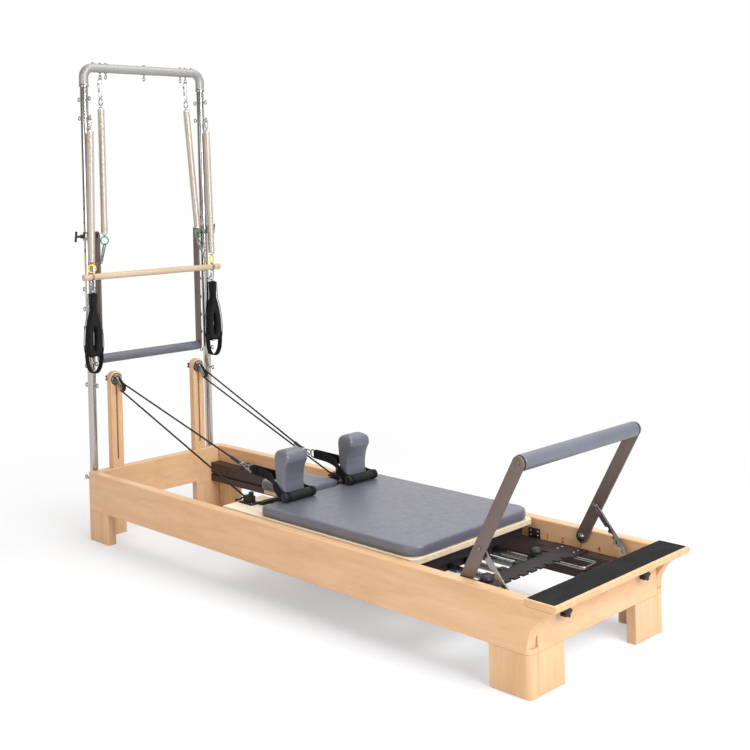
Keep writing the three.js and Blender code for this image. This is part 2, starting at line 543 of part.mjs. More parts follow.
{
  const half = derived.inner - carriage.sideGap
  const board = polygon([
    [carriage.back, -half], [carriage.front - carriage.corner, -half], [carriage.front, -half + carriage.corner],
    [carriage.front, half - carriage.corner], [carriage.front - carriage.corner, half], [carriage.back, half],
    [carriage.back, carriage.recessHalf], [carriage.recess, carriage.recessHalf],
    [carriage.recess, -carriage.recessHalf], [carriage.back, -carriage.recessHalf],
  ])
  add('carriage', 'carriage_board', slab(board, carriage.boardThick, bed.edge).translate(0, 0, carriage.boardBottom), paleWood)

  const frameTop = carriage.boardBottom - seat
  const frameBottom = frameTop - carriage.frameHigh
  const middle = (carriage.frameStart + carriage.frameEnd) / 2
  const hole = (x0, x1) => box(x0, x1, -carriage.frameHalf + carriage.bar, carriage.frameHalf - carriage.bar,
    frameBottom - overrun, frameTop + overrun)
  const axles = [carriage.frameStart + carriage.rearAxle, carriage.frameEnd - carriage.frontAxle]
  const bores = axles.map((x) => rod(vec(x, -carriage.frameHalf - overrun, derived.wheelHeight),
    vec(x, carriage.frameHalf + overrun, derived.wheelHeight), carriage.axle + turnFit, 10))
  const anchorStart = carriage.frameEnd - carriage.crossBar
  add('carriage', 'carriage_frame', fuse(
    cut(box(carriage.frameStart, carriage.frameEnd, -carriage.frameHalf, carriage.frameHalf, frameBottom, frameTop),
      hole(carriage.frameStart + carriage.crossBar, middle - carriage.crossBar / 2),
      hole(middle + carriage.crossBar / 2, anchorStart), ...bores),
    box(anchorStart, anchorStart + carriage.anchorThick, -carriage.anchorHalf, carriage.anchorHalf,
      frameBottom - carriage.anchorDrop, frameBottom + sink)), bronze)

  const wheelEnd = derived.inner - carriage.wheelInset + carriage.wheelWide / 2
  const wheelStart = wheelEnd - carriage.wheelWide
  const wheelProfile = [[0, wheelStart], [carriage.wheel - carriage.tyre, wheelStart],
    [carriage.wheel, wheelStart + carriage.tyre], [carriage.wheel, wheelEnd - carriage.tyre],
    [carriage.wheel - carriage.tyre, wheelEnd], [0, wheelEnd]]
  for (const [name, x] of [['rear', axles[0]], ['front', axles[1]]]) {
    const wheel = (turn) => new THREE.LatheGeometry(wheelProfile.map(([r, y]) => new THREE.Vector2(r, y)), 14).rotateX(turn)
    add('carriage', `${name}_wheel_set`, fuse(
      rod(vec(0, -wheelStart - sink, 0), vec(0, wheelStart + sink, 0), carriage.axle), wheel(0), wheel(Math.PI)),
      blackPlastic, vec(x, 0, derived.wheelHeight))
  }

  const padHalf = half - pad.sideGap
  add('carriage', 'carriage_pad', cushion(pad.back, carriage.front - pad.frontGap, padHalf, derived.boardTop + seat,
    pad.high, pad.crown, { foot: pad.footCorner, head: pad.headCorner }, pad.roundness), vinyl)

  const restBoard = derived.boardTop + headrest.lift
  const lugTop = restBoard + sink
  const lugs = sides.map(([, side]) => {
    const y = side * (headrest.half - headrest.lugInset)
    return fuse(
      box(headrest.pinX - headrest.lug, headrest.pinX + headrest.lug, y - headrest.lugWide / 2, y + headrest.lugWide / 2,
        headrest.pinHeight, lugTop),
      rod(vec(headrest.pinX, y - headrest.lugWide / 2, headrest.pinHeight),
        vec(headrest.pinX, y + headrest.lugWide / 2, headrest.pinHeight), headrest.lug, 10))
  })
  const pinReach = carriage.recessHalf - seat
  add('carriage', 'headrest_board', fuse(
    slab(polygon([[headrest.start, -headrest.half + headrest.corner], [headrest.start + headrest.corner, -headrest.half],
      [headrest.end, -headrest.half], [headrest.end, headrest.half], [headrest.start + headrest.corner, headrest.half],
      [headrest.start, headrest.half - headrest.corner]]), headrest.boardThick).translate(0, 0, restBoard),
    ...lugs, rod(vec(headrest.pinX, -pinReach, headrest.pinHeight), vec(headrest.pinX, pinReach, headrest.pinHeight),
      headrest.pin)), paleWood)
  add('carriage', 'headrest_pad', cushion(headrest.start, headrest.end, headrest.half,
    restBoard + headrest.boardThick + seat, headrest.high, headrest.crown,
    { foot: headrest.roundness, head: headrest.corner }, headrest.roundness), vinyl)
}

// A shoulder rest is a waisted block with a rounded top that leans out over its front.
const restBase = derived.padTop + seat
const restOutline = () => {
  const shape = new THREE.Shape()
  shape.moveTo(rest.back, restBase)
  shape.lineTo(rest.front, restBase)
  shape.quadraticCurveTo(rest.front - rest.edge, rest.waistHeight, rest.bulge, rest.bulgeHeight)
  shape.quadraticCurveTo(rest.bulge, rest.top, rest.ridge, rest.top)
  shape.quadraticCurveTo(rest.back, rest.top, rest.back, rest.bulgeHeight)
  return shape
}
for (const [name, side] of sides) {
  const y = side * rest.side
  add('carriage', `${name}_shoulder_rest`,
    acrossY(restOutline(), 2 * rest.half, -rest.half, rest.edge, 7), vinyl, vec(0, y, 0))

  const base = derived.boardTop + seat
  const plateTop = base + restBracket.plateThick
  const uprightEnd = rest.back - seat
  const uprightStart = uprightEnd - restBracket.uprightThick
  const plate = [side * restBracket.plateInner, side * restBracket.plateOuter]
  const cleatY = side * restBracket.cleatSide
  const cleatEnd = restBracket.cleatX + restBracket.cleatLong
  add('carriage', `${name}_rest_bracket`, fuse(
    box(restBracket.start, uprightEnd, ...plate, base, plateTop),
    box(uprightStart, uprightEnd, y - restBracket.uprightHalf, y + restBracket.uprightHalf, base, restBracket.uprightTop),
    box(restBracket.cleatX, cleatEnd, cleatY - restBracket.cleatWide / 2, cleatY + restBracket.cleatWide / 2,
      plateTop - sink, plateTop + restBracket.cleatHigh),
    rod(vec(cleatEnd - restBracket.cam, cleatY, plateTop), vec(cleatEnd - restBracket.cam, cleatY,
      plateTop + restBracket.cleatHigh + restBracket.camHigh), restBracket.cam, 12)), blackPlastic)
}

// Five springs from the carriage frame to the spring bar.
{
  const from = carriage.frameEnd - carriage.crossBar + carriage.anchorThick + seat
  const to = springBar.middleStart - springBar.studLong - seat
  for (let i = -2; i <= 2; i++) {
    const y = i * carriageSpring.spread
    add('carriage', `carriage_spring_${i + 3}`, coil(`carriage spring ${i + 3}`, vec(from, y, carriageSpring.height),
      vec(to, y, carriageSpring.height), carriageSpring.radius, carriageSpring.wire, carriageSpring.curls,
      carriageSpring.tail), springSteel)
  }
}

// The risers: slotted posts, clamp knobs, swivels and pulleys, and the ropes that run over them.

for (const [name, side] of sides) {
  const y = side * riser.side
  const crown = riser.top - riser.half
  const shape = new THREE.Shape()
  shape.moveTo(-riser.half, bed.top + seat)
  shape.lineTo(riser.half, bed.top + seat)
  shape.lineTo(riser.half, crown)
  shape.absarc(0, crown, riser.half, 0, Math.PI, false)
  const slot = new THREE.Path()
  slot.moveTo(-riser.slotHalf, derived.slotStart)
  slot.lineTo(-riser.slotHalf, derived.slotEnd)
  slot.lineTo(riser.slotHalf, derived.slotEnd)
  slot.lineTo(riser.slotHalf, derived.slotStart)
  shape.holes.push(slot)
  add('risers', `${name}_riser`, acrossX(shape, riser.thick, 0, 0, 12), wood, vec(0, y, 0))

  const headEnd = -seat - riserKnob.neckLength
  add('risers', `${name}_riser_knob`, fuse(
    acrossX(knobOutline(riserKnob.radius, riserKnob.lobe), riserKnob.depth, headEnd - riserKnob.depth),
    rod(vec(-seat, 0, 0), vec(headEnd - sink, 0, 0), riserKnob.radius - riserKnob.lobe * 2),
    rod(vec(riser.thick, 0, 0), vec(headEnd - sink, 0, 0), riserKnob.stem)), blackPlastic, vec(0, y, derived.clampHeight))

  const discStart = riser.thick + seat
  const discEnd = discStart + swivel.discThick
  const fork = side * pulley.side
  const cheek = (sign) => {
    const from = sign * (swivel.plateGap + swivel.plate / 2) - swivel.plate / 2
    return acrossY(polygon([
      [discEnd - sink, derived.clampHeight + swivel.blockHalf], [discEnd + swivel.block, derived.clampHeight + swivel.blockHalf],
      [pulley.x + swivel.nose, derived.pulleyHeight + swivel.nose], [pulley.x + swivel.nose, derived.pulleyHeight - swivel.nose / 2],
      [pulley.x, derived.pulleyHeight - swivel.nose], [pulley.x - swivel.nose, derived.pulleyHeight - swivel.nose],
      [discEnd - sink, derived.clampHeight - swivel.blockHalf],
    ]), swivel.plate, fork + from, 0)
  }
  const cheekOuter = swivel.plateGap + swivel.plate
  add('risers', `${name}_pulley_swivel`, fuse(
    rod(vec(discStart, y, derived.clampHeight), vec(discEnd, y, derived.clampHeight), swivel.disc, 16),
    box(discEnd - sink, discEnd + swivel.block, fork - cheekOuter, fork + cheekOuter,
      derived.clampHeight - swivel.blockHalf, derived.clampHeight + swivel.blockHalf),
    cheek(1), cheek(-1),
    rod(vec(pulley.x, fork - cheekOuter, derived.pulleyHeight), vec(pulley.x, fork + cheekOuter, derived.pulleyHeight),
      swivel.axle)), steel)
  const wheel = [[pulley.bore, -pulley.half], [pulley.rim, -pulley.half], [pulley.groove, -pulley.grooveHalf + sink / 2],
    [pulley.groove, pulley.grooveHalf - sink / 2], [pulley.rim, pulley.half], [pulley.bore, pulley.half],
    [pulley.bore, -pulley.half]]
  add('risers', `${name}_pulley`, new THREE.LatheGeometry(wheel.map(([r, h]) => new THREE.Vector2(r, h)), 16),
    blackPlastic, vec(pulley.x, fork, derived.pulleyHeight))
}

const hookStart = (side) => {
  const ringEdge = strap.ringX - strap.ring
  return vec(ringEdge - strap.hookReach, side * rest.side, strap.ringHeight + strap.hookRise)
}

// A rope runs from its clip up to the pulley, round it and down to the cleat.
for (const [name, side] of sides) {
  const fork = side * pulley.side
  const centre = vec(pulley.x, fork, derived.pulleyHeight)
  const wrap = pulley.groove + rope.radius + seat
  const start = hookStart(side).add(vec(-strap.hookEye - strap.hookWire - seat, 0, 0))
  const plateTop = derived.boardTop + seat + restBracket.plateThick
  const end = vec(restBracket.cleatX - rope.radius / 2, side * restBracket.cleatSide, plateTop + restBracket.cleatHigh / 2)
  const tangent = (p, sign) => {
    const [dx, dz] = [p.x - centre.x, p.z - centre.z]
    const angle = Math.atan2(dz, dx) + sign * Math.acos(wrap / Math.hypot(dx, dz))
    return angle
  }
  const a0 = tangent(start, 1)
  const a1 = tangent(end, -1) + 2 * Math.PI
  const arc = []
  for (let k = 0; k <= ropeArcSteps; k++) {
    const angle = a0 + ((a1 - a0) * k) / ropeArcSteps
    arc.push(vec(centre.x + wrap * Math.cos(angle), centre.y, centre.z + wrap * Math.sin(angle)))
  }
  const points = [start, ...arc, end]
  const sleeveEnd = start.clone().lerp(arc[0], rope.sleeveLong / start.distanceTo(arc[0]))
  add('risers', `${name}_rope`, fuse(tube(points, rope.radius), rod(start, sleeveEnd, rope.sleeve, 8)), ropeBlack)
}

// A strap loop lies round its shoulder rest, from the ring behind it to the hand grip in front.
for (const [name, side] of sides) {
  const y = side * rest.side
  const bandStart = strap.ringX + strap.ring
  const full = rest.half + strap.clear + strap.thick / 2
  const band = (sign) => {
    const rings = strapShares.map(([along, drop, spread]) => {
      const x = bandStart + (strap.gripX - bandStart) * along
      const z = strap.ringHeight + (derived.gripHeight - strap.ringHeight) * drop
      const at = y + sign * (strap.foldHalf / 2 + (full - strap.foldHalf / 2) * spread)
      const wide = (strap.wide / 2) * (1 - (along * strap.grip) / (2 * strap.wide))
      return [vec(x, at - strap.thick / 2, z - wide), vec(x, at - strap.thick / 2, z + wide),
        vec(x, at + strap.thick / 2, z + wide), vec(x, at + strap.thick / 2, z - wide)].reverse()
    })
    return loft(rings)
  }
  const hook = hookStart(side)
  const ringEdge = vec(strap.ringX - strap.ring, y, strap.ringHeight)
  add('carriage', `${name}_strap_loop`, fuse(
    band(1), band(-1),
    rod(vec(strap.gripX, y - strap.gripHalf, derived.gripHeight), vec(strap.gripX, y + strap.gripHalf, derived.gripHeight),
      strap.grip, 14),
    box(bandStart - strap.foldLong / 2, bandStart + strap.foldLong, y - strap.foldHalf, y + strap.foldHalf,
      strap.ringHeight - strap.wide / 2, strap.ringHeight + strap.wide / 2),
    ring(strap.ring, strap.ringWire, vec(strap.ringX, y, strap.ringHeight), vec(0, 1, 0)),
    rod(ringEdge, hook.clone().add(vec(strap.hookEye, 0, 0)), strap.hookRod, 8),
    ring(strap.hookEye, strap.hookWire, hook, vec(0, 1, 0))), webbing)
}

// The footbar: two flat arms that lean on notched props, and a padded roller between them.

const lean = THREE.MathUtils.degToRad(footbar.lean)
groups.footbar.position.set(footbar.pivotX, 0, footbar.pivotHeight)
const leaning = new THREE.Group()
leaning.rotation.y = lean
groups.footbar.add(leaning)
{
  const outer = derived.inner - footbar.armGap
  const inner = outer - footbar.armThick
  const arm = new THREE.Shape()
  const half = footbar.armWide / 2
  arm.absarc(0, 0, half, Math.PI, 2 * Math.PI, false)
  arm.absarc(0, footbar.reach, half, 0, Math.PI, false)
  const pieces = []
  for (const [, side] of sides) {
    pieces.push(acrossY(arm, footbar.armThick, side < 0 ? -outer : inner, 0, 5))
    pieces.push(rod(vec(0, side * (inner - footbar.boltHead), 0),
      vec(0, side * (derived.inner + footbar.pinBore - sink), 0), footbar.pin, 10))
    pieces.push(rod(vec(0, side * (inner + sink), footbar.propPin),
      vec(0, side * (inner - prop.armGap - prop.thick - turnFit), footbar.propPin), footbar.propPinRadius))
    pieces.push(rod(vec(0, side * (outer - sink), footbar.propPin),
      vec(0, side * (outer + footbar.propBoltHead), footbar.propPin), footbar.bolt, 8))
  }
  pieces.push(rod(vec(0, -inner - sink, footbar.reach), vec(0, inner + sink, footbar.reach), footbar.core))
  const frame = new THREE.Mesh(fuse(...pieces), armBronze)
  frame.name = 'footbar_frame'
  leaning.add(frame)

  const end = inner - seat
  const roller = [[footbar.core + seat, -end], [footbar.rollerRadius - footbar.rollerEnd, -end],
    [footbar.rollerRadius, -end + footbar.rollerEnd], [footbar.rollerRadius, end - footbar.rollerEnd],
    [footbar.rollerRadius - footbar.rollerEnd, end], [footbar.core + seat, end], [footbar.core + seat, -end]]
  const padded = new THREE.Mesh(new THREE.LatheGeometry(roller.map(([r, h]) => new THREE.Vector2(r, h)), 20), vinyl)
  padded.name = 'footbar_roller'
  padded.position.z = footbar.reach
  leaning.add(padded)
}

// A prop hangs from the arm's pin, and one of its notches sits over the pin in the side rail.
for (const [name, side] of sides) {
  const inner = derived.inner - footbar.armGap - footbar.armThick - prop.armGap
  const pin = vec(footbar.pivotX + footbar.propPin * Math.sin(lean), 0, footbar.pivotHeight + footbar.propPin * Math.cos(lean))
  const way = [prop.pinX - pin.x, prop.pinHeight - pin.z]
  const distance = Math.hypot(...way)
  const along = Math.sqrt(distance * distance - prop.notchAt * prop.notchAt)
  const turn = Math.atan2(way[1], way[0]) + Math.atan2(prop.notchAt, along)
  const half = prop.wide / 2
  const shape = new THREE.Shape()
  shape.absarc(0, 0, half, Math.PI / 2, (3 * Math.PI) / 2, false)
  shape.lineTo(prop.reach, -half)
  shape.absarc(prop.reach, 0, half, -Math.PI / 2, Math.PI / 2, false)
  const plate = slab(shape, prop.thick, 0, 4)
  const tools = [rod(vec(0, 0, -overrun), vec(0, 0, prop.thick + overrun), footbar.propPinRadius + turnFit, 12)]
  for (let k = 0; k < prop.notches; k++) {
    const at = along + prop.notchPitch * (k - 2)
    tools.push(rod(vec(at, -prop.notchAt, -overrun), vec(at, -prop.notchAt, prop.thick + overrun), prop.notch, 8))
    tools.push(box(at - prop.notch, at + prop.notch, -prop.wide, -prop.notchAt, -overrun, prop.thick + overrun))
  }
  const y = side < 0 ? -inner + prop.thick : inner
  const geometry = cut(plate, ...tools).rotateX(Math.PI / 2)
  const mesh = new THREE.Mesh(geometry, steel)
  mesh.name = `${name}_footbar_prop`
  mesh.rotation.y = -turn
  mesh.position.set(pin.x - footbar.pivotX, y, pin.z - footbar.pivotHeight)
  groups.footbar.add(mesh)

  const wall = side * derived.inner
  add('bed', `${name}_prop_pin`, fuse(
    rod(vec(prop.pinX, wall + side * (prop.pinBore - seat), prop.pinHeight),
      vec(prop.pinX, wall - side * prop.pinReach, prop.pinHeight), prop.pin, 8),
    rod(vec(prop.pinX, wall - side * seat, prop.pinHeight),
      vec(prop.pinX, wall - side * (seat + prop.pinFlangeThick), prop.pinHeight), prop.pinFlange, 10)), steel)
}

// The tower: two posts on the head end's outer face, the top tube, and what hangs from them.

// An eyebolt's ring and shank, from a point on its carrier out to the ring's centre.
const eyebolt = (from, centre, ringAxis) => {
  const way = centre.clone().sub(from).normalize()
  return [rod(from, centre.clone().addScaledVector(way, -eye.ring), eye.shank, 3),
    ring(eye.ring, eye.wire, centre, ringAxis, 6, 3)]
}

const acrossAxis = vec(0, 1, 0)
for (const [name, side] of sides) {
  const y = side * tower.postSide
  const rootOf = (dx, dy, z) => vec(tower.postX + dx * tower.post / 2, y + dy * tower.post / 2, z)
  const holes = postHoleHeights.map((z) => rod(vec(tower.postX, y - tower.post - overrun, z),
    vec(tower.postX, y + tower.post + overrun, z), tower.hole, 6))
  const postTop = derived.sleeveBottom + tower.socket - seat
  const post = cut(rod(vec(tower.postX, y, tower.postBottom), vec(tower.postX, y, postTop), tower.post, 14), ...holes)
  const fittings = []
  for (const z of derived.backEyeHeights)
    fittings.push(...eyebolt(rootOf(-1, 0, z), vec(tower.postX - eye.reach, y, z), acrossAxis))
  for (const z of derived.frontEyeHeights)
    fittings.push(...eyebolt(rootOf(1, 0, z), vec(derived.eyeX, y, z), acrossAxis))
  fittings.push(...eyebolt(rootOf(-1, 0, lowEye.height), vec(tower.postX - lowEye.reach, y, lowEye.height), acrossAxis))
  fittings.push(rod(vec(tower.postX - tower.post, y, lowEye.height),
    vec(tower.postX - tower.post - lowEye.knobLong, y, lowEye.height), lowEye.knob, 8))
  for (const z of saddleHeights) {
    const middle = z + tower.saddleHigh / 2
    fittings.push(box(tower.postX, -seat, y - tower.saddleHalf, y + tower.saddleHalf, z, z + tower.saddleHigh))
    for (const sign of [-1, 1]) {
      const at = y + sign * (tower.saddleHalf - tower.saddleScrewInset)
      fittings.push(rod(vec(tower.postX + sink, at, middle), vec(tower.postX - tower.saddleScrewHead, at, middle),
        tower.saddleScrew, 6))
    }
  }
  // The slanted eyebolt, the snap hook on it and the coloured ring under the inner spring.
  const slant = vec(innerFoot.eyeX, side * innerFoot.eyeSide, innerFoot.eyeHeight)
  const out = slant.clone().sub(vec(tower.postX, y, innerFoot.eyeHeight)).normalize()
  const slantAxis = vec(-out.y, out.x, 0)
  fittings.push(...eyebolt(vec(tower.postX, y, innerFoot.eyeHeight).addScaledVector(out, tower.post / 2), slant, slantAxis))
  const ringCentre = vec(innerFoot.x, side * innerFoot.side, link.innerBottom - link.ring - link.wire - seat)
  const ringFoot = ringCentre.clone().add(vec(0, 0, -link.ring))
  fittings.push(ring(link.ring, link.wire, ringCentre, acrossAxis, 12))
  fittings.push(rod(ringFoot, slant.clone().add(vec(0, 0, eye.ring)), link.clip, 6))
  add('tower', `${name}_post`, fuse(post, ...fittings), steel)
}

{
  const points = []
  const low = derived.sleeveBottom
  const high = tower.topHeight - tower.bend
  points.push(vec(tower.postX, -tower.postSide, low), vec(tower.postX, -tower.postSide, high))
  for (let k = 1; k <= bendSteps; k++) {
    const angle = Math.PI - (Math.PI / 2) * (k / bendSteps)
    const y = -tower.postSide + tower.bend + tower.bend * Math.cos(angle)
    points.push(vec(tower.postX, y, high + tower.bend * Math.sin(angle)))
  }
  const mirrored = points.map((p) => vec(p.x, -p.y, p.z)).reverse()
  const sockets = sides.map(([, side]) => rod(vec(tower.postX, side * tower.postSide, low - overrun),
    vec(tower.postX, side * tower.postSide, low + tower.socket), tower.post + seat, 14))
  const top = tower.topHeight + tower.sleeve
  const eyes = topEyeSides.flatMap((y) => eyebolt(vec(tower.postX, y, tower.topHeight),
    vec(tower.postX, y, tower.topHeight - eye.drop), acrossAxis))
  const nuts = [...topEyeSides, ...topNutSides].map((y) => rod(vec(tower.postX, y, top - sink),
    vec(tower.postX, y, top + eye.nutHigh - sink), eye.nut, 6))
  const clips = sides.flatMap(([, side]) => {
    const y = side * link.innerSide
    const clipTop = tower.topHeight - eye.drop - eye.ring
    return [rod(vec(tower.postX, y, clipTop), vec(tower.postX, y, derived.innerTop + link.ring), link.clip, 6),
      ring(link.ring, link.wire, vec(tower.postX, y, derived.innerTop), acrossAxis, 12)]
  })
  add('tower', 'tower_top_tube', fuse(cut(tube([...points, ...mirrored], tower.sleeve, 14), ...sockets),
    ...eyes, ...nuts, ...clips), steel)
}

// The inner springs hang from the top tube and are hooked to the posts.
for (const [name, side] of sides) {
  const from = vec(innerFoot.x, side * innerFoot.side, link.innerBottom)
  const to = vec(tower.postX, side * link.innerSide, derived.innerTop - link.ring - link.wire - seat)
  add('tower', `${name}_inner_spring`, coil(`${name} inner spring`, from, to, spring.radius, spring.wire,
    spring.curls, spring.tail), springSteel)
}

// The push-through bar swings on two collars that clamp on the posts.
for (const [name, side] of sides) {
  const armInner = tower.postSide - collar.radius - collar.armGap - pushBar.armThick
  const shell = [[tower.post + turnFit, -collar.half], [collar.radius, -collar.half], [collar.radius, collar.half],
    [tower.post + turnFit, collar.half], [tower.post + turnFit, -collar.half]]
  const ringShape = new THREE.LatheGeometry(shell.map(([r, h]) => new THREE.Vector2(r, h)), 16).rotateX(Math.PI / 2)
  const stemEnd = collar.radius + collar.handleReach
  const tilt = THREE.MathUtils.degToRad(collar.handleLean)
  const tip = vec(collar.handleHalf * Math.sin(tilt), 0, collar.handleHalf * Math.cos(tilt))
  const stem = vec(0, side * stemEnd, 0)
  add('tower', `${name}_collar`, fuse(ringShape,
    rod(vec(0, -side * (tower.post + 2 * sink), 0), vec(0, side * (armInner + seat - tower.postSide), 0), collar.pivot, 10),
    rod(vec(0, side * (tower.post + 2 * sink), 0), stem, collar.handleStem, 8),
    rod(stem.clone().add(tip), stem.clone().sub(tip), collar.handleStem, 8)),
  blackPlastic, vec(tower.postX, side * tower.postSide, collar.height))
}
{
  const outer = tower.postSide - collar.radius - collar.armGap
  const inner = outer - pushBar.armThick
  const drop = collar.height - pushBar.barHeight
  const half = pushBar.armWide / 2
  const arm = new THREE.Shape()
  arm.absarc(0, 0, half, 0, Math.PI, false)
  arm.absarc(0, -drop, half, Math.PI, 2 * Math.PI, false)
  const pieces = sides.map(([, side]) => cut(acrossY(arm, pushBar.armThick, side < 0 ? -outer : inner, 0, 5),
    rod(vec(0, side * (inner - overrun), 0), vec(0, side * (outer + overrun), 0), collar.pivot + turnFit, 12)))
  for (const [, side] of sides)
    pieces.push(rod(vec(0, side * (outer - sink), -drop), vec(0, side * (outer + pushBar.boltHead), -drop), pushBar.bolt, 8))
  pieces.push(rod(vec(0, -inner - sink, -drop), vec(0, inner + sink, -drop), pushBar.core))
  add('tower', 'push_bar_frame', fuse(...pieces), armBronze, vec(tower.postX, 0, collar.height))
  const end = inner - seat
  const shell = [[pushBar.core + seat, -end], [pushBar.pad - sink, -end], [pushBar.pad, -end + sink],
    [pushBar.pad, end - sink], [pushBar.pad - sink, end], [pushBar.core + seat, end], [pushBar.core + seat, -end]]
  add('tower', 'push_bar_pad', new THREE.LatheGeometry(shell.map(([r, h]) => new THREE.Vector2(r, h)), 16), vinyl,
    vec(tower.postX, 0, pushBar.barHeight))
}

// The roll-down bar with its two clips hangs on the outer springs and carries the foot loops.
const barPieces = [rod(vec(derived.eyeX, -rollBar.half, rollBar.height),
  vec(derived.eyeX, rollBar.half, rollBar.height), rollBar.radius, 14)]
for (const [name, side] of sides) {
  const x = derived.eyeX
  const y = side * rollBar.clipSide
  const collarTop = rollBar.height + rollBar.collarRing
  const yellow = vec(x, y, collarTop + rollBar.collarWire + rollBar.yellowRing)
  const hookTop = rollBar.height - rollBar.collarRing
  const hookMiddle = vec(x, y, hookTop - rollBar.hookLong / 2)
  const hookRing = ring(rollBar.hookHalf, link.wire, vec(0, 0, 0), acrossAxis, 8)
    .scale(1, 1, rollBar.hookLong / 2 / (rollBar.hookHalf + link.wire)).translate(hookMiddle.x, y, hookMiddle.z)
  barPieces.push(ring(rollBar.collarRing, rollBar.collarWire, vec(x, y, rollBar.height), acrossAxis, 10),
    ring(rollBar.yellowRing, link.wire, yellow, vec(1, 0, 0), 12), hookRing)

  const springFoot = vec(x, y, yellow.z + rollBar.yellowRing + link.wire + seat)
  const springHead = vec(x, side * tower.postSide, derived.frontEyeHeights[1] - eye.ring - eye.wire - seat)
  add('tower', `${name}_outer_spring`, coil(`${name} outer spring`, springFoot, springHead, spring.radius, spring.wire,
    spring.curls, spring.tail), springSteel)

  const shape = new THREE.Shape()
  const top = hookTop - rollBar.hookLong - seat
  shape.moveTo(-loop.neckHalf, top)
  shape.lineTo(loop.neckHalf, top)
  shape.lineTo(loop.neckHalf, loop.neckBottom)
  shape.quadraticCurveTo(loop.half, loop.slotTop, loop.half, loop.widest)
  shape.quadraticCurveTo(loop.half, loop.bottom, 0, loop.bottom)
  shape.quadraticCurveTo(-loop.half, loop.bottom, -loop.half, loop.widest)
  shape.quadraticCurveTo(-loop.half, loop.slotTop, -loop.neckHalf, loop.neckBottom)
  const slot = new THREE.Path()
  const slotMiddle = (loop.slotTop + loop.slotBottom) / 2
  slot.absellipse(0, slotMiddle, loop.slotHalf, (loop.slotTop - loop.slotBottom) / 2, 0, 2 * Math.PI)
  const gap = new THREE.Path()
  gap.moveTo(-loop.openHalf, loop.openTop)
  gap.quadraticCurveTo(-loop.openHalf, loop.openBottom, 0, loop.openBottom)
  gap.quadraticCurveTo(loop.openHalf, loop.openBottom, loop.openHalf, loop.openTop)
  gap.quadraticCurveTo(0, 2 * loop.padBottom - loop.openTop, -loop.openHalf, loop.openTop)
  shape.holes.push(slot, gap)
  add('tower', `${name}_foot_loop`, acrossX(shape, loop.thick, -loop.thick / 2, 0, 5), webbing, vec(x, side * loop.side, 0))
}
add('tower', 'roll_down_bar', fuse(...barPieces), wood)

// The whole stands on the floor with the middle of its box over the origin.
part.updateMatrixWorld(true)
const whole = new THREE.Box3().setFromObject(part)
part.position.x = -(whole.min.x + whole.max.x) / 2
part.position.y = -(whole.min.y + whole.max.y) / 2
part.updateMatrixWorld(true)

export default part
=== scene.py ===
import math

import bpy
from mathutils import Matrix, Vector


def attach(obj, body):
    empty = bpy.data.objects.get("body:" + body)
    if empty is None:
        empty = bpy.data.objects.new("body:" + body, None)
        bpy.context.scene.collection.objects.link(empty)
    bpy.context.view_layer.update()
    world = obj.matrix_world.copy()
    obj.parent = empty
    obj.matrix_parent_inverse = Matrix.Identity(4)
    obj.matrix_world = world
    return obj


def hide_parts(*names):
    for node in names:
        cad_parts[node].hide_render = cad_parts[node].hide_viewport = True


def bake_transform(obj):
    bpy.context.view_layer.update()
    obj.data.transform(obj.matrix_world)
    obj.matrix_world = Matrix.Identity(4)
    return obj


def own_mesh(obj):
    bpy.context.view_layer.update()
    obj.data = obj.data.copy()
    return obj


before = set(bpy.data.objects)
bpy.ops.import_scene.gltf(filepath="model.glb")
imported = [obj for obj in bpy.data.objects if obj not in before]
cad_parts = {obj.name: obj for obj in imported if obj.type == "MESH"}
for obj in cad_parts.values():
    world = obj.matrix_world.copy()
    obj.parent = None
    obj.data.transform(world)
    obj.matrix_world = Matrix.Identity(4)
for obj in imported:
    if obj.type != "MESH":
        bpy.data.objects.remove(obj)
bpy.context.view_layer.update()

sides = (("near", -1), ("far", 1))
headToMiddle = 1202.04  # millimetres from the head end's outer face to the middle of the part


def place(x, y, z):  # millimetres from the head end's face, the middle line and the floor
    return Vector(((x - headToMiddle) / 1000, y / 1000, z / 1000))


# camera

cameraSetup = {
    "spot": (3.31856, -2.86536, 1.46956),
    "right": (0.7238628, 0.6893892, -0.0276610),
    "up": (0.0202369, 0.0188596, 0.9996173),
    "back": (0.6896471, -0.7241456, -0.0002993),
    "lens": 56.383,
    "shiftX": -0.09058,
    "shiftY": -0.26061,
}


def makeCamera(setup):
    lens = bpy.data.cameras.new("photoCamera")
    camera = bpy.data.objects.new("photoCamera", lens)
    bpy.context.scene.collection.objects.link(camera)
    turn = Matrix((setup["right"], setup["up"], setup["back"])).transposed()
    camera.matrix_world = Matrix.Translation(setup["spot"]) @ turn.to_4x4()
    lens.sensor_width = 36
    lens.lens = setup["lens"]
    lens.shift_x = setup["shiftX"]
    lens.shift_y = setup["shiftY"]
    lens.clip_end = 60
    bpy.context.scene.camera = camera


makeCamera(cameraSetup)
print("camera in place")

# shared material steps


def newFinish(name, colour, roughness, metallic=0.0):
    finish = bpy.data.materials.new(name)
    finish.use_nodes = True
    tree = finish.node_tree
    shader = tree.nodes["Principled BSDF"]
    shader.inputs["Base Color"].default_value = (*colour, 1)
    shader.inputs["Roughness"].default_value = roughness
    shader.inputs["Metallic"].default_value = metallic
    return finish, tree, shader


def spotOf(tree, stretch=(1, 1, 1), turn=(0, 0, 0), along="Object"):
    where = tree.nodes.new("ShaderNodeTexCoord")
    mapping = tree.nodes.new("ShaderNodeMapping")
    mapping.inputs["Scale"].default_value = stretch
    mapping.inputs["Rotation"].default_value = turn
    tree.links.new(where.outputs[along], mapping.inputs["Vector"])
    return mapping.outputs["Vector"]


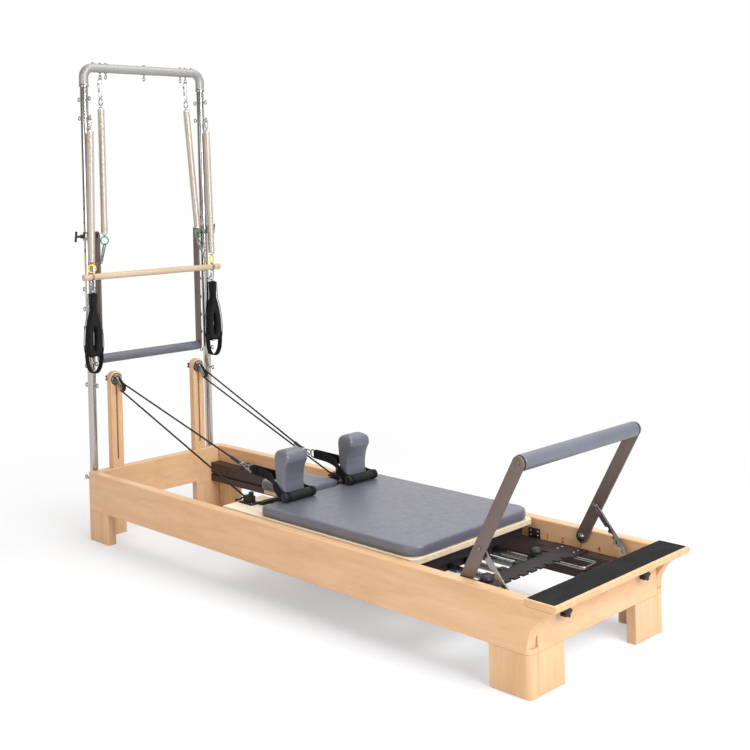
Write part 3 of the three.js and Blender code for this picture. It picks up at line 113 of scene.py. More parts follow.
def heightOf(tree):
    where = tree.nodes.new("ShaderNodeTexCoord")
    parts = tree.nodes.new("ShaderNodeSeparateXYZ")
    tree.links.new(where.outputs["Object"], parts.inputs[0])
    return parts.outputs["Z"]


def noiseOf(tree, spot, scale, detail=3, roughness=0.55, distortion=0.0):
    noise = tree.nodes.new("ShaderNodeTexNoise")
    noise.inputs["Scale"].default_value = scale
    noise.inputs["Detail"].default_value = detail
    noise.inputs["Roughness"].default_value = roughness
    noise.inputs["Distortion"].default_value = distortion
    tree.links.new(spot, noise.inputs["Vector"])
    return noise.outputs["Fac"]


def wavesOf(tree, spot, scale, distortion=0.0, detail=2.0, kind="BANDS", way="X"):
    waves = tree.nodes.new("ShaderNodeTexWave")
    waves.wave_type = kind
    if kind == "BANDS":
        waves.bands_direction = way
    waves.inputs["Scale"].default_value = scale
    waves.inputs["Distortion"].default_value = distortion
    waves.inputs["Detail"].default_value = detail
    tree.links.new(spot, waves.inputs["Vector"])
    return waves.outputs["Fac"]


def rampOf(tree, factor, stops):
    ramp = tree.nodes.new("ShaderNodeValToRGB")
    points = ramp.color_ramp.elements
    while len(points) < len(stops):
        points.new(0.5)
    for point, (at, colour) in zip(points, stops):
        point.position = at
        point.color = (*colour, 1) if len(colour) == 3 else colour
    tree.links.new(factor, ramp.inputs["Fac"])
    return ramp.outputs["Color"]


def tintBetween(tree, shader, factor, colour, down, up, lift=0.0, start=0.3, end=0.7):
    low = tuple(c * down for c in colour)
    high = tuple(min(c * up + lift, 1) for c in colour)
    tree.links.new(rampOf(tree, factor, ((start, low), (end, high))), shader.inputs["Base Color"])


def greyRamp(tree, factor, low, high, start=0.3, end=0.7):
    return rampOf(tree, factor, ((start, (low, low, low)), (end, (high, high, high))))


def blendOf(tree, factor, first, second, kind="MIX", share=None):
    mix = tree.nodes.new("ShaderNodeMix")
    mix.data_type = "RGBA"
    mix.blend_type = kind
    if factor is None:
        mix.inputs["Factor"].default_value = share
    else:
        tree.links.new(factor, mix.inputs["Factor"])
    tree.links.new(first, mix.inputs["A"])
    if second is None:  # a plain white
        mix.inputs["B"].default_value = (1, 1, 1, 1)
    else:
        tree.links.new(second, mix.inputs["B"])
    return mix.outputs["Result"]


def bumpOf(tree, shader, height, strength, distance, under=None):
    bump = tree.nodes.new("ShaderNodeBump")
    bump.inputs["Strength"].default_value = strength
    bump.inputs["Distance"].default_value = distance
    tree.links.new(height, bump.inputs["Height"])
    if under is not None:
        tree.links.new(under, bump.inputs["Normal"])
    tree.links.new(bump.outputs["Normal"], shader.inputs["Normal"])
    return bump.outputs["Normal"]


def sumOf(tree, kind, first, second):
    step = tree.nodes.new("ShaderNodeMath")
    step.operation = kind
    for socket, value in ((step.inputs[0], first), (step.inputs[1], second)):
        if isinstance(value, (int, float)):
            socket.default_value = value
        else:
            tree.links.new(value, socket)
    return step.outputs[0]


def showBoth(tree, share, first, second, output):
    blend = tree.nodes.new("ShaderNodeMixShader")
    tree.links.new(share, blend.inputs["Fac"])
    tree.links.new(first.outputs[0], blend.inputs[1])
    tree.links.new(second.outputs[0], blend.inputs[2])
    tree.links.new(blend.outputs[0], tree.nodes[output].inputs["Surface"])


# floor, world and lamps

studio = {
    "floorSize": 60,
    "floorColour": (0.80, 0.79, 0.78),
    "floorGlow": ((0.0, 0.36), (0.30, 0.42), (0.55, 0.86), (0.8, 1.0)),
    "glowReach": 4.0,
    "backWay": (-0.67, 0.72, 0.18),
    "worldRamp": ((0.0, 0.24), (0.34, 0.30), (0.40, 0.03), (0.47, 0.03), (0.53, 0.55), (1.0, 1.15)),
    "lamps": (
        ("footKey", (4.6, -0.4, 2.9), (0.2, 0.0, 0.35), 2.6, 280, (0.94, 1.0, 1.1)),
        ("topFill", (0.3, 0.9, 4.4), (0.2, 0.0, 0.2), 3.4, 100, (1.0, 1.0, 1.0)),
        ("nearFill", (0.6, -4.8, 1.9), (0.2, 0.0, 0.4), 2.8, 94, (1.0, 0.98, 0.95)),
    ),
}


def makeFloor(setup):
    bpy.ops.object.select_all(action="DESELECT")
    bpy.ops.mesh.primitive_plane_add(size=setup["floorSize"], location=(0, 0, -0.0004))
    floor = bpy.context.active_object
    floor.name = "studio_floor"
    finish, tree, shader = newFinish("studioFloor", setup["floorColour"], 0.9)
    shader.inputs["Specular IOR Level"].default_value = 0.1
    where = tree.nodes.new("ShaderNodeTexCoord")
    reach = tree.nodes.new("ShaderNodeVectorMath")
    reach.operation = "LENGTH"
    tree.links.new(where.outputs["Object"], reach.inputs[0])
    near = sumOf(tree, "DIVIDE", reach.outputs["Value"], setup["glowReach"])
    level = rampOf(tree, near, [(at, (grey, grey, grey)) for at, grey in setup["floorGlow"]])
    seen = tree.nodes.new("ShaderNodeLightPath")
    either = sumOf(tree, "MAXIMUM", seen.outputs["Is Camera Ray"], seen.outputs["Is Glossy Ray"])
    glow = tree.nodes.new("ShaderNodeEmission")
    glow.inputs["Color"].default_value = (1, 1, 1, 1)
    showBoth(tree, sumOf(tree, "MULTIPLY", either, level), shader, glow, "Material Output")
    floor.data.materials.append(finish)


def makeWorld(setup):  # bright behind the object and dimmer towards the camera's side, white where it is seen
    world = bpy.data.worlds.new("studioWorld")
    bpy.context.scene.world = world
    world.use_nodes = True
    tree = world.node_tree
    where = tree.nodes.new("ShaderNodeTexCoord")
    towards = tree.nodes.new("ShaderNodeVectorMath")
    towards.operation = "DOT_PRODUCT"
    towards.inputs[1].default_value = Vector(setup["backWay"]).normalized()
    tree.links.new(where.outputs["Generated"], towards.inputs[0])
    spread = tree.nodes.new("ShaderNodeMapRange")
    spread.inputs["From Min"].default_value = -1
    tree.links.new(towards.outputs["Value"], spread.inputs["Value"])
    tones = [(at, (level, level * 0.995, level * 0.985)) for at, level in setup["worldRamp"]]
    soft = tree.nodes["Background"]
    soft.inputs["Strength"].default_value = 1
    tree.links.new(rampOf(tree, spread.outputs["Result"], tones), soft.inputs["Color"])
    white = tree.nodes.new("ShaderNodeBackground")
    white.inputs["Color"].default_value = (1, 1, 1, 1)
    white.inputs["Strength"].default_value = 1
    seen = tree.nodes.new("ShaderNodeLightPath")
    clear = sumOf(tree, "MAXIMUM", seen.outputs["Is Camera Ray"], seen.outputs["Is Transmission Ray"])
    showBoth(tree, clear, soft, white, "World Output")


def makeLamps(setup):
    for name, spot, target, size, power, tint in setup["lamps"]:
        lamp = bpy.data.lights.new(name, "AREA")
        lamp.shape = "SQUARE"
        lamp.size = size
        lamp.energy = power
        lamp.color = tint
        holder = bpy.data.objects.new(name, lamp)
        bpy.context.scene.collection.objects.link(holder)
        holder.location = spot
        holder.rotation_euler = (Vector(target) - Vector(spot)).to_track_quat("-Z", "Y").to_euler()


bpy.context.scene.view_settings.view_transform = "Standard"
makeFloor(studio)
makeWorld(studio)
makeLamps(studio)
print("studio lit")

# wood

mapleTones = {
    "dark": (0.600, 0.345, 0.168),
    "middle": (0.655, 0.392, 0.203),
    "light": (0.700, 0.440, 0.245),
}


def grainColour(tree, tones, stretch):
    spot = spotOf(tree, stretch)
    board = noiseOf(tree, spot, 1.0, 4, 0.6, 0.6)
    base = rampOf(tree, board, ((0.28, tones["dark"]), (0.5, tones["middle"]), (0.74, tones["light"])))
    figure = wavesOf(tree, spot, 0.55, 9.0, 3.0, "BANDS", "Y")
    lines = rampOf(tree, figure, ((0.0, (0.90, 0.86, 0.82)), (0.18, (1, 1, 1)), (1.0, (1.02, 1.02, 1.01))))
    withLines = blendOf(tree, None, base, lines, "MULTIPLY", 0.42)
    fibres = noiseOf(tree, spotOf(tree, tuple(s * 11 for s in stretch)), 1.0, 2, 0.5)
    shade = greyRamp(tree, fibres, 0.95, 1.03)
    return blendOf(tree, None, withLines, shade, "MULTIPLY", 0.8), fibres


# The boards run along X or Y, and their legs are glued on with upright grain.
def makeBoardWood(name, tones, boardStretch, legStretch=None, legTop=None):
    finish, tree, shader = newFinish(name, tones["middle"], 0.42)
    lying, lyingFibres = grainColour(tree, tones, boardStretch)
    colour = lying
    if legTop is not None:
        upright = grainColour(tree, tones, legStretch)[0]
        height = heightOf(tree)
        isLeg = sumOf(tree, "LESS_THAN", height, legTop / 1000)
        off = sumOf(tree, "ABSOLUTE", sumOf(tree, "SUBTRACT", height, legTop / 1000), 0)
        seam = sumOf(tree, "LESS_THAN", off, 0.0009)
        dark = rampOf(tree, seam, ((0.0, (1, 1, 1)), (1.0, (0.72, 0.62, 0.52))))
        colour = blendOf(tree, None, blendOf(tree, isLeg, lying, upright), dark, "MULTIPLY", 1.0)
    tree.links.new(colour, shader.inputs["Base Color"])
    bumpOf(tree, shader, lyingFibres, 0.10, 0.0004)
    gloss = noiseOf(tree, spotOf(tree), 9, 2)
    tree.links.new(greyRamp(tree, gloss, 0.36, 0.50), shader.inputs["Roughness"])
    shader.inputs["Coat Weight"].default_value = 0.12
    shader.inputs["Coat Roughness"].default_value = 0.25
    return finish


railWood = makeBoardWood("railMaple", mapleTones, (2.2, 17, 17), (20, 20, 2.2), 127)
endWood = makeBoardWood("endMaple", mapleTones, (17, 2.6, 17), (20, 20, 2.2), 126)
riserWood = makeBoardWood("riserMaple", mapleTones, (22, 22, 2.0))
dowelTones = {"dark": (0.46, 0.325, 0.205), "middle": (0.53, 0.385, 0.255), "light": (0.58, 0.44, 0.305)}
dowelWood = makeBoardWood("dowelMaple", dowelTones, (30, 2.4, 30))


# Birch plywood: pale faces, and thin dark glue lines on the edges.
def makePly(name, faceTone, layers, bottom, high):
    finish, tree, shader = newFinish(name, faceTone["middle"], 0.45)
    face, fibres = grainColour(tree, faceTone, (2.0, 13, 13))
    depth = sumOf(tree, "MULTIPLY", sumOf(tree, "SUBTRACT", heightOf(tree), bottom / 1000), layers * 1000 / high)
    within = sumOf(tree, "FRACT", depth, 0)
    lines = rampOf(tree, within, ((0.0, (0.70, 0.60, 0.48)), (0.14, (1, 1, 1)), (0.86, (1, 1, 1)),
                                  (1.0, (0.70, 0.60, 0.48))))
    even = sumOf(tree, "FRACT", sumOf(tree, "MULTIPLY", sumOf(tree, "FLOOR", depth, 0), 0.5), 0)
    tint = rampOf(tree, even, ((0.0, (1, 1, 1)), (0.5, (0.90, 0.85, 0.78))))
    edge = blendOf(tree, None, lines, tint, "MULTIPLY", 0.8)
    normal = tree.nodes.new("ShaderNodeNewGeometry")
    facing = tree.nodes.new("ShaderNodeSeparateXYZ")
    tree.links.new(normal.outputs["Normal"], facing.inputs[0])
    flat = sumOf(tree, "GREATER_THAN", sumOf(tree, "ABSOLUTE", facing.outputs["Z"], 0), 0.85)
    banding = blendOf(tree, flat, edge, None)
    tree.links.new(blendOf(tree, None, face, banding, "MULTIPLY", 1.0), shader.inputs["Base Color"])
    bumpOf(tree, shader, fibres, 0.08, 0.0003)
    return finish


plyTones = {"dark": (0.70, 0.55, 0.37), "middle": (0.77, 0.63, 0.45), "light": (0.82, 0.70, 0.53)}
boardPly = makePly("boardPly", plyTones, 9, 265, 20)
headPly = makePly("headrestPly", plyTones, 7, 286, 14)
platformPly = makePly("platformPly", mapleTones, 5, 268.3, 20)


# vinyl, plastics, rubber and metals


def makeVinyl(name, colour):
    finish, tree, shader = newFinish(name, colour, 0.5)
    patches = noiseOf(tree, spotOf(tree), 5, 3, 0.6)
    tintBetween(tree, shader, patches, colour, 0.93, 1.07)
    pebbles = tree.nodes.new("ShaderNodeTexVoronoi")
    pebbles.inputs["Scale"].default_value = 620
    tree.links.new(spotOf(tree), pebbles.inputs["Vector"])
    soft = noiseOf(tree, spotOf(tree), 34, 3, 0.55)
    first = bumpOf(tree, shader, soft, 0.10, 0.004)
    bumpOf(tree, shader, pebbles.outputs["Distance"], 0.22, 0.0004, first)
    tree.links.new(greyRamp(tree, soft, 0.36, 0.48), shader.inputs["Roughness"])
    shader.inputs["Specular IOR Level"].default_value = 0.75
    shader.inputs["Coat Weight"].default_value = 0.3
    shader.inputs["Coat Roughness"].default_value = 0.48
    return finish


slateVinyl = makeVinyl("slateVinyl", (0.098, 0.099, 0.122))


def makePlastic(name, colour, roughness=0.42, grain=900, shine=0.5):
    finish, tree, shader = newFinish(name, colour, roughness)
    shader.inputs["Specular IOR Level"].default_value = shine
    fine = noiseOf(tree, spotOf(tree), grain, 2)
    bumpOf(tree, shader, fine, 0.12, 0.0003)
    wide = noiseOf(tree, spotOf(tree), 30, 3)
    tree.links.new(greyRamp(tree, wide, roughness - 0.07, roughness + 0.08), shader.inputs["Roughness"])
    tintBetween(tree, shader, wide, colour, 0.85, 1.2, 0.004)
    return finish


blackPlastic = makePlastic("blackPlastic", (0.015, 0.0145, 0.0145), shine=0.35)
wheelRubber = makePlastic("wheelRubber", (0.035, 0.033, 0.032), 0.6, 500)
gripFoam = makePlastic("gripFoam", (0.010, 0.010, 0.010), 0.6, 420, 0.22)
greenRing = makePlastic("greenRing", (0.012, 0.30, 0.115), 0.32, 700)
yellowRing = makePlastic("yellowRing", (0.80, 0.58, 0.03), 0.32, 700)


def makeMetal(name, colour, roughness, brush, streak=0.07, metallic=1.0, shine=0.5):
    finish, tree, shader = newFinish(name, colour, roughness, metallic)
    shader.inputs["Specular IOR Level"].default_value = shine
    lines = noiseOf(tree, spotOf(tree, brush), 1.0, 3, 0.6)
    tree.links.new(greyRamp(tree, lines, roughness - streak, roughness + streak), shader.inputs["Roughness"])
    tintBetween(tree, shader, lines, colour, 0.93, 1.05)
    bumpOf(tree, shader, lines, 0.05, 0.0002)
    return finish


postSteel = makeMetal("postSteel", (0.50, 0.475, 0.45), 0.2, (420, 420, 5))
barSteel = makeMetal("barSteel", (0.34, 0.325, 0.307), 0.5, (420, 5, 420), 0.06, 0.55)
fittingSteel = makeMetal("fittingSteel", (0.30, 0.286, 0.27), 0.22, (300, 300, 300), 0.05)
springSteel = makeMetal("springSteel", (0.70, 0.625, 0.545), 0.36, (260, 260, 260), 0.06)
coilSteel = makeMetal("coilSteel", (0.20, 0.19, 0.18), 0.24, (260, 260, 260), 0.06)
trackBronze = makeMetal("trackBronze", (0.056, 0.036, 0.033), 0.45, (4, 380, 380), 0.06, 0.35, 0.25)
plateBlack = makeMetal("plateBlack", (0.022, 0.017, 0.0165), 0.5, (240, 240, 240), 0.06, 0.0, 0.16)
armBronze = makeMetal("armBronze", (0.175, 0.128, 0.114), 0.38, (60, 500, 5), 0.06, 0.6)
boltSteel = makeMetal("boltSteel", (0.20, 0.185, 0.175), 0.3, (300, 300, 300), 0.05)


def makeWeave(name, colour, pitch, along="UV", stretch=(1, 1, 1)):
    finish, tree, shader = newFinish(name, colour, 0.85)
    spot = spotOf(tree, stretch, (0, 0, 0), along)
    rows = wavesOf(tree, spot, pitch, 0.4, 1.0, "BANDS", "X")
    turns = wavesOf(tree, spot, pitch, 0.4, 1.0, "BANDS", "Y")
    threads = sumOf(tree, "MULTIPLY", rows, turns)
    tintBetween(tree, shader, threads, colour, 0.55, 1.9, 0.006, 0.05, 0.8)
    bumpOf(tree, shader, threads, 0.5, 0.0007)
    shader.inputs["Specular IOR Level"].default_value = 0.15
    return finish


webbing = makeWeave("blackWebbing", (0.0085, 0.0085, 0.009), 190, "Object")


def makeBraid(name, colour):  # two sets of crossing strands, along the rope's own map
    finish, tree, shader = newFinish(name, colour, 0.8)
    left = wavesOf(tree, spotOf(tree, (1, 1, 1), (0, 0, 0.6), "UV"), 1.0, 0.2, 1.0, "BANDS", "X")
    right = wavesOf(tree, spotOf(tree, (1, 1, 1), (0, 0, -0.6), "UV"), 1.0, 0.2, 1.0, "BANDS", "X")
    strands = sumOf(tree, "MAXIMUM", left, right)
    tintBetween(tree, shader, strands, colour, 0.5, 1.8, 0.006, 0.35, 0.95)
    bumpOf(tree, shader, strands, 0.6, 0.0008)
    shader.inputs["Specular IOR Level"].default_value = 0.25
    return finish


ropeBraid = makeBraid("ropeBraid", (0.009, 0.009, 0.009))


def makeGripTape(name):
    finish, tree, shader = newFinish(name, (0.022, 0.021, 0.021), 0.9)
    shader.inputs["Specular IOR Level"].default_value = 0.12
    grit = tree.nodes.new("ShaderNodeTexVoronoi")
    grit.inputs["Scale"].default_value = 700
    tree.links.new(spotOf(tree), grit.inputs["Vector"])
    tone = rampOf(tree, grit.outputs["Distance"], ((0.1, (0.042, 0.040, 0.039)), (0.5, (0.012, 0.0115, 0.0115))))
    scuff = greyRamp(tree, noiseOf(tree, spotOf(tree), 14, 4, 0.6), 0.8, 1.25)
    tree.links.new(blendOf(tree, None, tone, scuff, "MULTIPLY", 1.0), shader.inputs["Base Color"])
    bumpOf(tree, shader, grit.outputs["Distance"], 0.6, 0.0006)
    return finish


gripTape = makeGripTape("gripTape")


def dressNode(node, finish):
    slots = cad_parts[node].material_slots
    for slot in slots:
        slot.material = finish


for name, side in sides:
    dressNode(name + "_side_rail", railWood)
    dressNode(name + "_riser", riserWood)
    dressNode(name + "_track", trackBronze)
    dressNode(name + "_bumper", wheelRubber)
    dressNode(name + "_prop_pin", fittingSteel)
for node in ("head_end_board", "foot_end_board"):
    dressNode(node, endWood)
dressNode("standing_platform", platformPly)
dressNode("carriage_board", boardPly)
dressNode("headrest_board", headPly)
dressNode("carriage_frame", plateBlack)
dressNode("rear_wheel_set", wheelRubber)
dressNode("front_wheel_set", wheelRubber)
dressNode("spring_bar", plateBlack)
print("carried-over nodes dressed")

# shared modelling steps


def chooseOnly(piece):
    bpy.ops.object.select_all(action="DESELECT")
    piece.select_set(True)
    bpy.context.view_layer.objects.active = piece


def settle(piece):  # puts the place, turn and size into the mesh
    chooseOnly(piece)
    bpy.ops.object.transform_apply(location=True, rotation=True, scale=True)
    return piece


def newObject(name, data):
    piece = bpy.data.objects.new(name, data)
    bpy.context.scene.collection.objects.link(piece)
    chooseOnly(piece)
    return piece


def block(low, high):
    a, b = place(*low), place(*high)
    bpy.ops.object.select_all(action="DESELECT")
    bpy.ops.mesh.primitive_cube_add(size=1, location=(a + b) / 2)
    piece = bpy.context.active_object
    piece.scale = [abs(v) for v in b - a]
    return settle(piece)


def drum(start, end, radius, steps=32, edge=0.0):
    a, b = place(*start), place(*end)
    bpy.ops.object.select_all(action="DESELECT")
    bpy.ops.mesh.primitive_cylinder_add(vertices=steps, radius=radius / 1000, depth=(b - a).length,
                                        location=(a + b) / 2)
    piece = bpy.context.active_object
    piece.rotation_euler = (b - a).to_track_quat("Z", "Y").to_euler()
    settle(piece)
    if edge:
        soften(piece, edge, 2, 50)
    return piece


def hoop(centre, axis, radius, gauge, steps=28, around=8):
    bpy.ops.object.select_all(action="DESELECT")
    bpy.ops.mesh.primitive_torus_add(major_radius=radius / 1000, minor_radius=gauge / 1000, major_segments=steps,
                                     minor_segments=around, location=place(*centre))
    piece = bpy.context.active_object
    piece.rotation_euler = Vector(axis).to_track_quat("Z", "Y").to_euler()
    return settle(piece)


def ball(centre, radius, squash=(1, 1, 1), steps=16):
    bpy.ops.object.select_all(action="DESELECT")
    bpy.ops.mesh.primitive_uv_sphere_add(segments=steps, ring_count=steps // 2, radius=radius / 1000,
                                         location=place(*centre))
    piece = bpy.context.active_object
    piece.scale = squash
    return settle(piece)


def changed(piece, kind, **settings):  # one modifier, applied
    chooseOnly(piece)
    change = piece.modifiers.new("change", kind)
    for setting, value in settings.items():
        setattr(change, setting, value)
    bpy.ops.object.modifier_apply(modifier=change.name)
    return piece


def soften(piece, width, steps=2, angle=35):
    return changed(piece, "BEVEL", width=width / 1000, segments=steps, limit_method="ANGLE",
                   angle_limit=math.radians(angle))


def cutOut(piece, *tools, way="DIFFERENCE"):
    for tool in tools:
        changed(piece, "BOOLEAN", operation=way, solver="EXACT", object=tool)
        bpy.data.objects.remove(tool)
    return piece


def joined(*pieces):
    bpy.ops.object.select_all(action="DESELECT")
    for piece in pieces:
        piece.select_set(True)
    bpy.context.view_layer.objects.active = pieces[0]
    bpy.ops.object.join()
    return pieces[0]


def alignTo(piece, start, end):  # a form built along Z from the origin is moved to its start and way
    way = place(*end) - place(*start)
    piece.matrix_world = Matrix.Translation(place(*start)) @ way.to_track_quat("Z", "Y").to_matrix().to_4x4()
    return settle(piece)


def curvePiece(name, outlines, closed, **settings):  # outlines in metres become a mesh
    curve = bpy.data.curves.new(name, "CURVE")
    for setting, value in settings.items():
        setattr(curve, setting, value)
    for outline in outlines:
        spline = curve.splines.new("POLY")
        spline.points.add(len(outline) - 1)
        spline.use_cyclic_u = closed
        for spot, point in zip(spline.points, outline):
            spot.co = (*point, 1)
    newObject(name, curve)
    bpy.ops.object.convert(target="MESH")
    return bpy.context.active_object


def wire(points, gauge, closed=False, around=2):
    return curvePiece("wire", [[place(*point) for point in points]], closed, dimensions="3D",
                      bevel_depth=gauge / 1000, bevel_resolution=around, use_fill_caps=not closed)


def rounded(points, radius, steps=5, closed=False):  # a route with an arc at each corner
    route = []
    count = len(points)
    for i, point in enumerate(points):
        here = Vector(point)
        if not closed and i in (0, count - 1):
            route.append(tuple(here))
            continue
        before, after = Vector(points[i - 1]), Vector(points[(i + 1) % count])
        back, on = before - here, after - here
        reach = min(radius, back.length / 2.01, on.length / 2.01)
        start, end = here + back.normalized() * reach, here + on.normalized() * reach
        for k in range(steps + 1):
            t = k / steps
            route.append(tuple(start * (1 - t) ** 2 + here * 2 * t * (1 - t) + end * t ** 2))
    return route


def arc(u, v, radius, start, end, steps):
    turns = [math.radians(start + (end - start) * k / steps) for k in range(steps + 1)]
    return [(u + radius * math.cos(t), v + radius * math.sin(t)) for t in turns]


# A flat outline with holes, pushed out both ways from its plane, with rounded edges.
def plate(outlines, thick, edge, origin, across, up, steps=2):
    flat = [[(u / 1000, v / 1000, 0) for u, v in outline] for outline in outlines]
    piece = curvePiece("plate", flat, True, dimensions="2D", fill_mode="BOTH", extrude=(thick / 2 - edge) / 1000,
                       bevel_depth=edge / 1000, bevel_resolution=steps, offset=-edge / 1000)
    across, up = Vector(across).normalized(), Vector(up).normalized()
    turn = Matrix((across, up, across.cross(up))).transposed().to_4x4()
    piece.matrix_world = Matrix.Translation(place(*origin)) @ turn
    settle(piece)
    return mended(piece)


def mended(piece):  # doubles merged and faces outwards
    chooseOnly(piece)
    bpy.ops.object.mode_set(mode="EDIT")
    bpy.ops.mesh.select_all(action="SELECT")
    bpy.ops.mesh.remove_doubles(threshold=0.00001)
    bpy.ops.mesh.normals_make_consistent(inside=False)
    bpy.ops.object.mode_set(mode="OBJECT")
    return piece


# A turned form: pairs of height and radius along the way from start to end.
def turned(profile, start, end, steps=32):
    shape = [(radius / 1000, 0, height / 1000) for height, radius in profile]
    piece = curvePiece("turned", [shape], False, dimensions="3D")
    bpy.ops.object.mode_set(mode="EDIT")
    bpy.ops.mesh.select_all(action="SELECT")
    bpy.ops.mesh.spin(steps=steps, angle=2 * math.pi, center=(0, 0, 0), axis=(0, 0, 1))
    bpy.ops.object.mode_set(mode="OBJECT")
    mended(piece)
    alignTo(piece, start, end)
    return mended(piece)


def painted(piece, finish):
    piece.data.materials.clear()
    piece.data.materials.append(finish)
    return piece


def finishPiece(piece, name, body, finish=None, nodes=(), angle=35):
    piece.name = name
    piece.data.name = name
    if finish is not None:
        painted(piece, finish)
    chooseOnly(piece)
    if angle:
        bpy.ops.object.shade_smooth_by_angle(angle=math.radians(angle))
    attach(piece, body)
    if nodes:
        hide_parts(*nodes)
    return piece


def coilSpring(start, end, radius, gauge, turns, steps=12, around=6):
    length = (place(*end) - place(*start)).length
    bpy.ops.object.select_all(action="DESELECT")
    bpy.ops.mesh.primitive_circle_add(vertices=around, radius=gauge / 1000, location=(radius / 1000, 0, 0),
                                      rotation=(math.pi / 2, 0, 0))
    piece = bpy.context.active_object
    settle(piece)
    changed(piece, "SCREW", axis="Z", angle=2 * math.pi, iterations=turns, screw_offset=length / turns, steps=steps,
            render_steps=steps)
    bpy.ops.object.mode_set(mode="EDIT")
    bpy.ops.mesh.select_all(action="DESELECT")
    bpy.ops.mesh.select_non_manifold()
    bpy.ops.mesh.edge_face_add()
    bpy.ops.object.mode_set(mode="OBJECT")
    alignTo(piece, start, end)
    return mended(piece)


# A snap hook: a long closed loop of wire with a thicker gate and a swivel at its foot.
def snapHook(top, foot, wide, gauge, sideways):
    a, b = Vector(top), Vector(foot)
    way = (b - a).normalized()
    out = Vector(sideways).normalized()
    reach = wide / 2
    corners = [a + out * reach, b + out * reach * 0.55, b - out * reach * 0.55, a - out * reach]
    loop = wire(rounded([tuple(c) for c in corners], wide * 0.5, 4, True), gauge, True)
    gateStart, gateEnd = a * 0.8 + b * 0.2 - out * reach * 0.93, a * 0.25 + b * 0.75 - out * reach * 0.68
    gate = drum(tuple(gateStart), tuple(gateEnd), gauge * 1.35, 10, 0.4)
    swivel = drum(tuple(b - way * gauge), tuple(b + way * gauge * 3.5), gauge * 1.7, 12, 0.5)
    return joined(loop, gate, swivel)


# cushions


def remeshed(piece, voxel):
    return changed(piece, "REMESH", mode="VOXEL", voxel_size=voxel / 1000)


# The cover is blown up a little by the cloth solver, with its underside held down.
def inflated(piece, pressure, cap, floorLevel=None):
    chooseOnly(piece)
    before = [point.co.copy() for point in piece.data.vertices]
    cloth = piece.modifiers.new("cover", "CLOTH")
    cloth.settings.quality = 4
    cloth.settings.mass = 0.3
    cloth.settings.tension_stiffness = 12
    cloth.settings.compression_stiffness = 12
    cloth.settings.bending_stiffness = 0.6
    cloth.settings.use_pressure = True
    cloth.settings.uniform_pressure_force = pressure
    cloth.settings.effector_weights.gravity = 0
    cloth.collision_settings.use_collision = False
    if floorLevel is not None:
        held = piece.vertex_groups.new(name="held")
        held.add([point.index for point in piece.data.vertices if point.co.z < floorLevel / 1000], 1, "REPLACE")
        cloth.settings.vertex_group_mass = "held"
    for step in range(1, 21):
        bpy.context.scene.frame_set(step)
    bpy.ops.object.modifier_apply(modifier=cloth.name)
    bpy.context.scene.frame_set(1)
    moves = [point.co - start for point, start in zip(piece.data.vertices, before)]
    most = max(move.length for move in moves)
    share = min(1, cap / 1000 / max(most, 1e-6))
    for point, start, move in zip(piece.data.vertices, before, moves):
        point.co = start + move * share
    return piece


def smoothed(piece, times):
    return changed(piece, "SMOOTH", factor=0.5, iterations=times)


carriagePad = {"back": 1122, "front": 1900, "half": 292, "low": 285.3, "high": 36.2, "headCorner": 16,
               "footCorner": 58, "edge": 8}


def padOutline(back, front, half, headCorner, footCorner):
    foot = arc(front - footCorner, -half + footCorner, footCorner, -90, 0, 10)
    foot += arc(front - footCorner, half - footCorner, footCorner, 0, 90, 10)
    head = arc(back + headCorner, half - headCorner, headCorner, 90, 180, 6)
    head += arc(back + headCorner, -half + headCorner, headCorner, 180, 270, 6)
    return foot + head


def makeCushion(name, body, shape, voxel, cap):
    outline = padOutline(shape["back"], shape["front"], shape["half"], shape["headCorner"], shape["footCorner"])
    middle = shape["low"] + shape["high"] / 2
    local = [(u - headToMiddle, v) for u, v in outline]
    pad = plate([local], shape["high"], shape["edge"], (headToMiddle, 0, middle), (1, 0, 0), (0, 1, 0), 3)
    remeshed(pad, voxel)
    inflated(pad, 4, cap, shape["low"] + 5)
    finishPiece(pad, name, body, slateVinyl, (name,), 60)
    return pad


makeCushion("carriage_pad", "carriage", carriagePad, 6, 3.7)
headPad = {"back": 858, "front": 1097, "half": 98, "low": 300.3, "high": 33, "headCorner": 34, "footCorner": 10,
           "edge": 9}
makeCushion("headrest_pad", "headrest", headPad, 4, 5)
print("pads")

shoulderRest = {"side": 154, "thick": 100, "edge": 9}


def bend(start, control, end, steps):  # a curve from start to end that leans towards control
    points = []
    for k in range(1, steps + 1):
        t = k / steps
        points.append(tuple(start[i] * (1 - t) ** 2 + control[i] * 2 * t * (1 - t) + end[i] * t ** 2 for i in range(2)))
    return points


def restOutline(inset=0):  # seen from the side: waisted, with a full rounded top
    low, top = 325.5, 505 - inset
    back, front, nose = 1092 + inset, 1154 - inset, 1171 - inset
    points = [(back + 2, low), (front, low)]
    points += bend((front, low), (1146 - inset, 352), (1146 - inset, 388), 7)
    points += bend((1146 - inset, 388), (1148 - inset, 432), (nose, 462), 9)
    points += bend((nose, 462), (nose + 6, 500), (1134, top), 8)
    points += bend((1134, top), (back, top), (back, 470), 8)
    points += bend((back, 470), (back, 440), (back + 5, 405), 6)
    points += bend((back + 5, 405), (back + 6, 360), (back + 2, low), 5)[:-1]
    return points


def restFront():  # seen from the front: upright sides and a round top
    half, low, top, corner = shoulderRest["thick"] / 2, 320, 505.2, 28
    points = [(-half, low), (half, low)] + arc(half - corner, top - corner, corner, 0, 90, 10)
    return points + arc(-half + corner, top - corner, corner, 90, 180, 10)


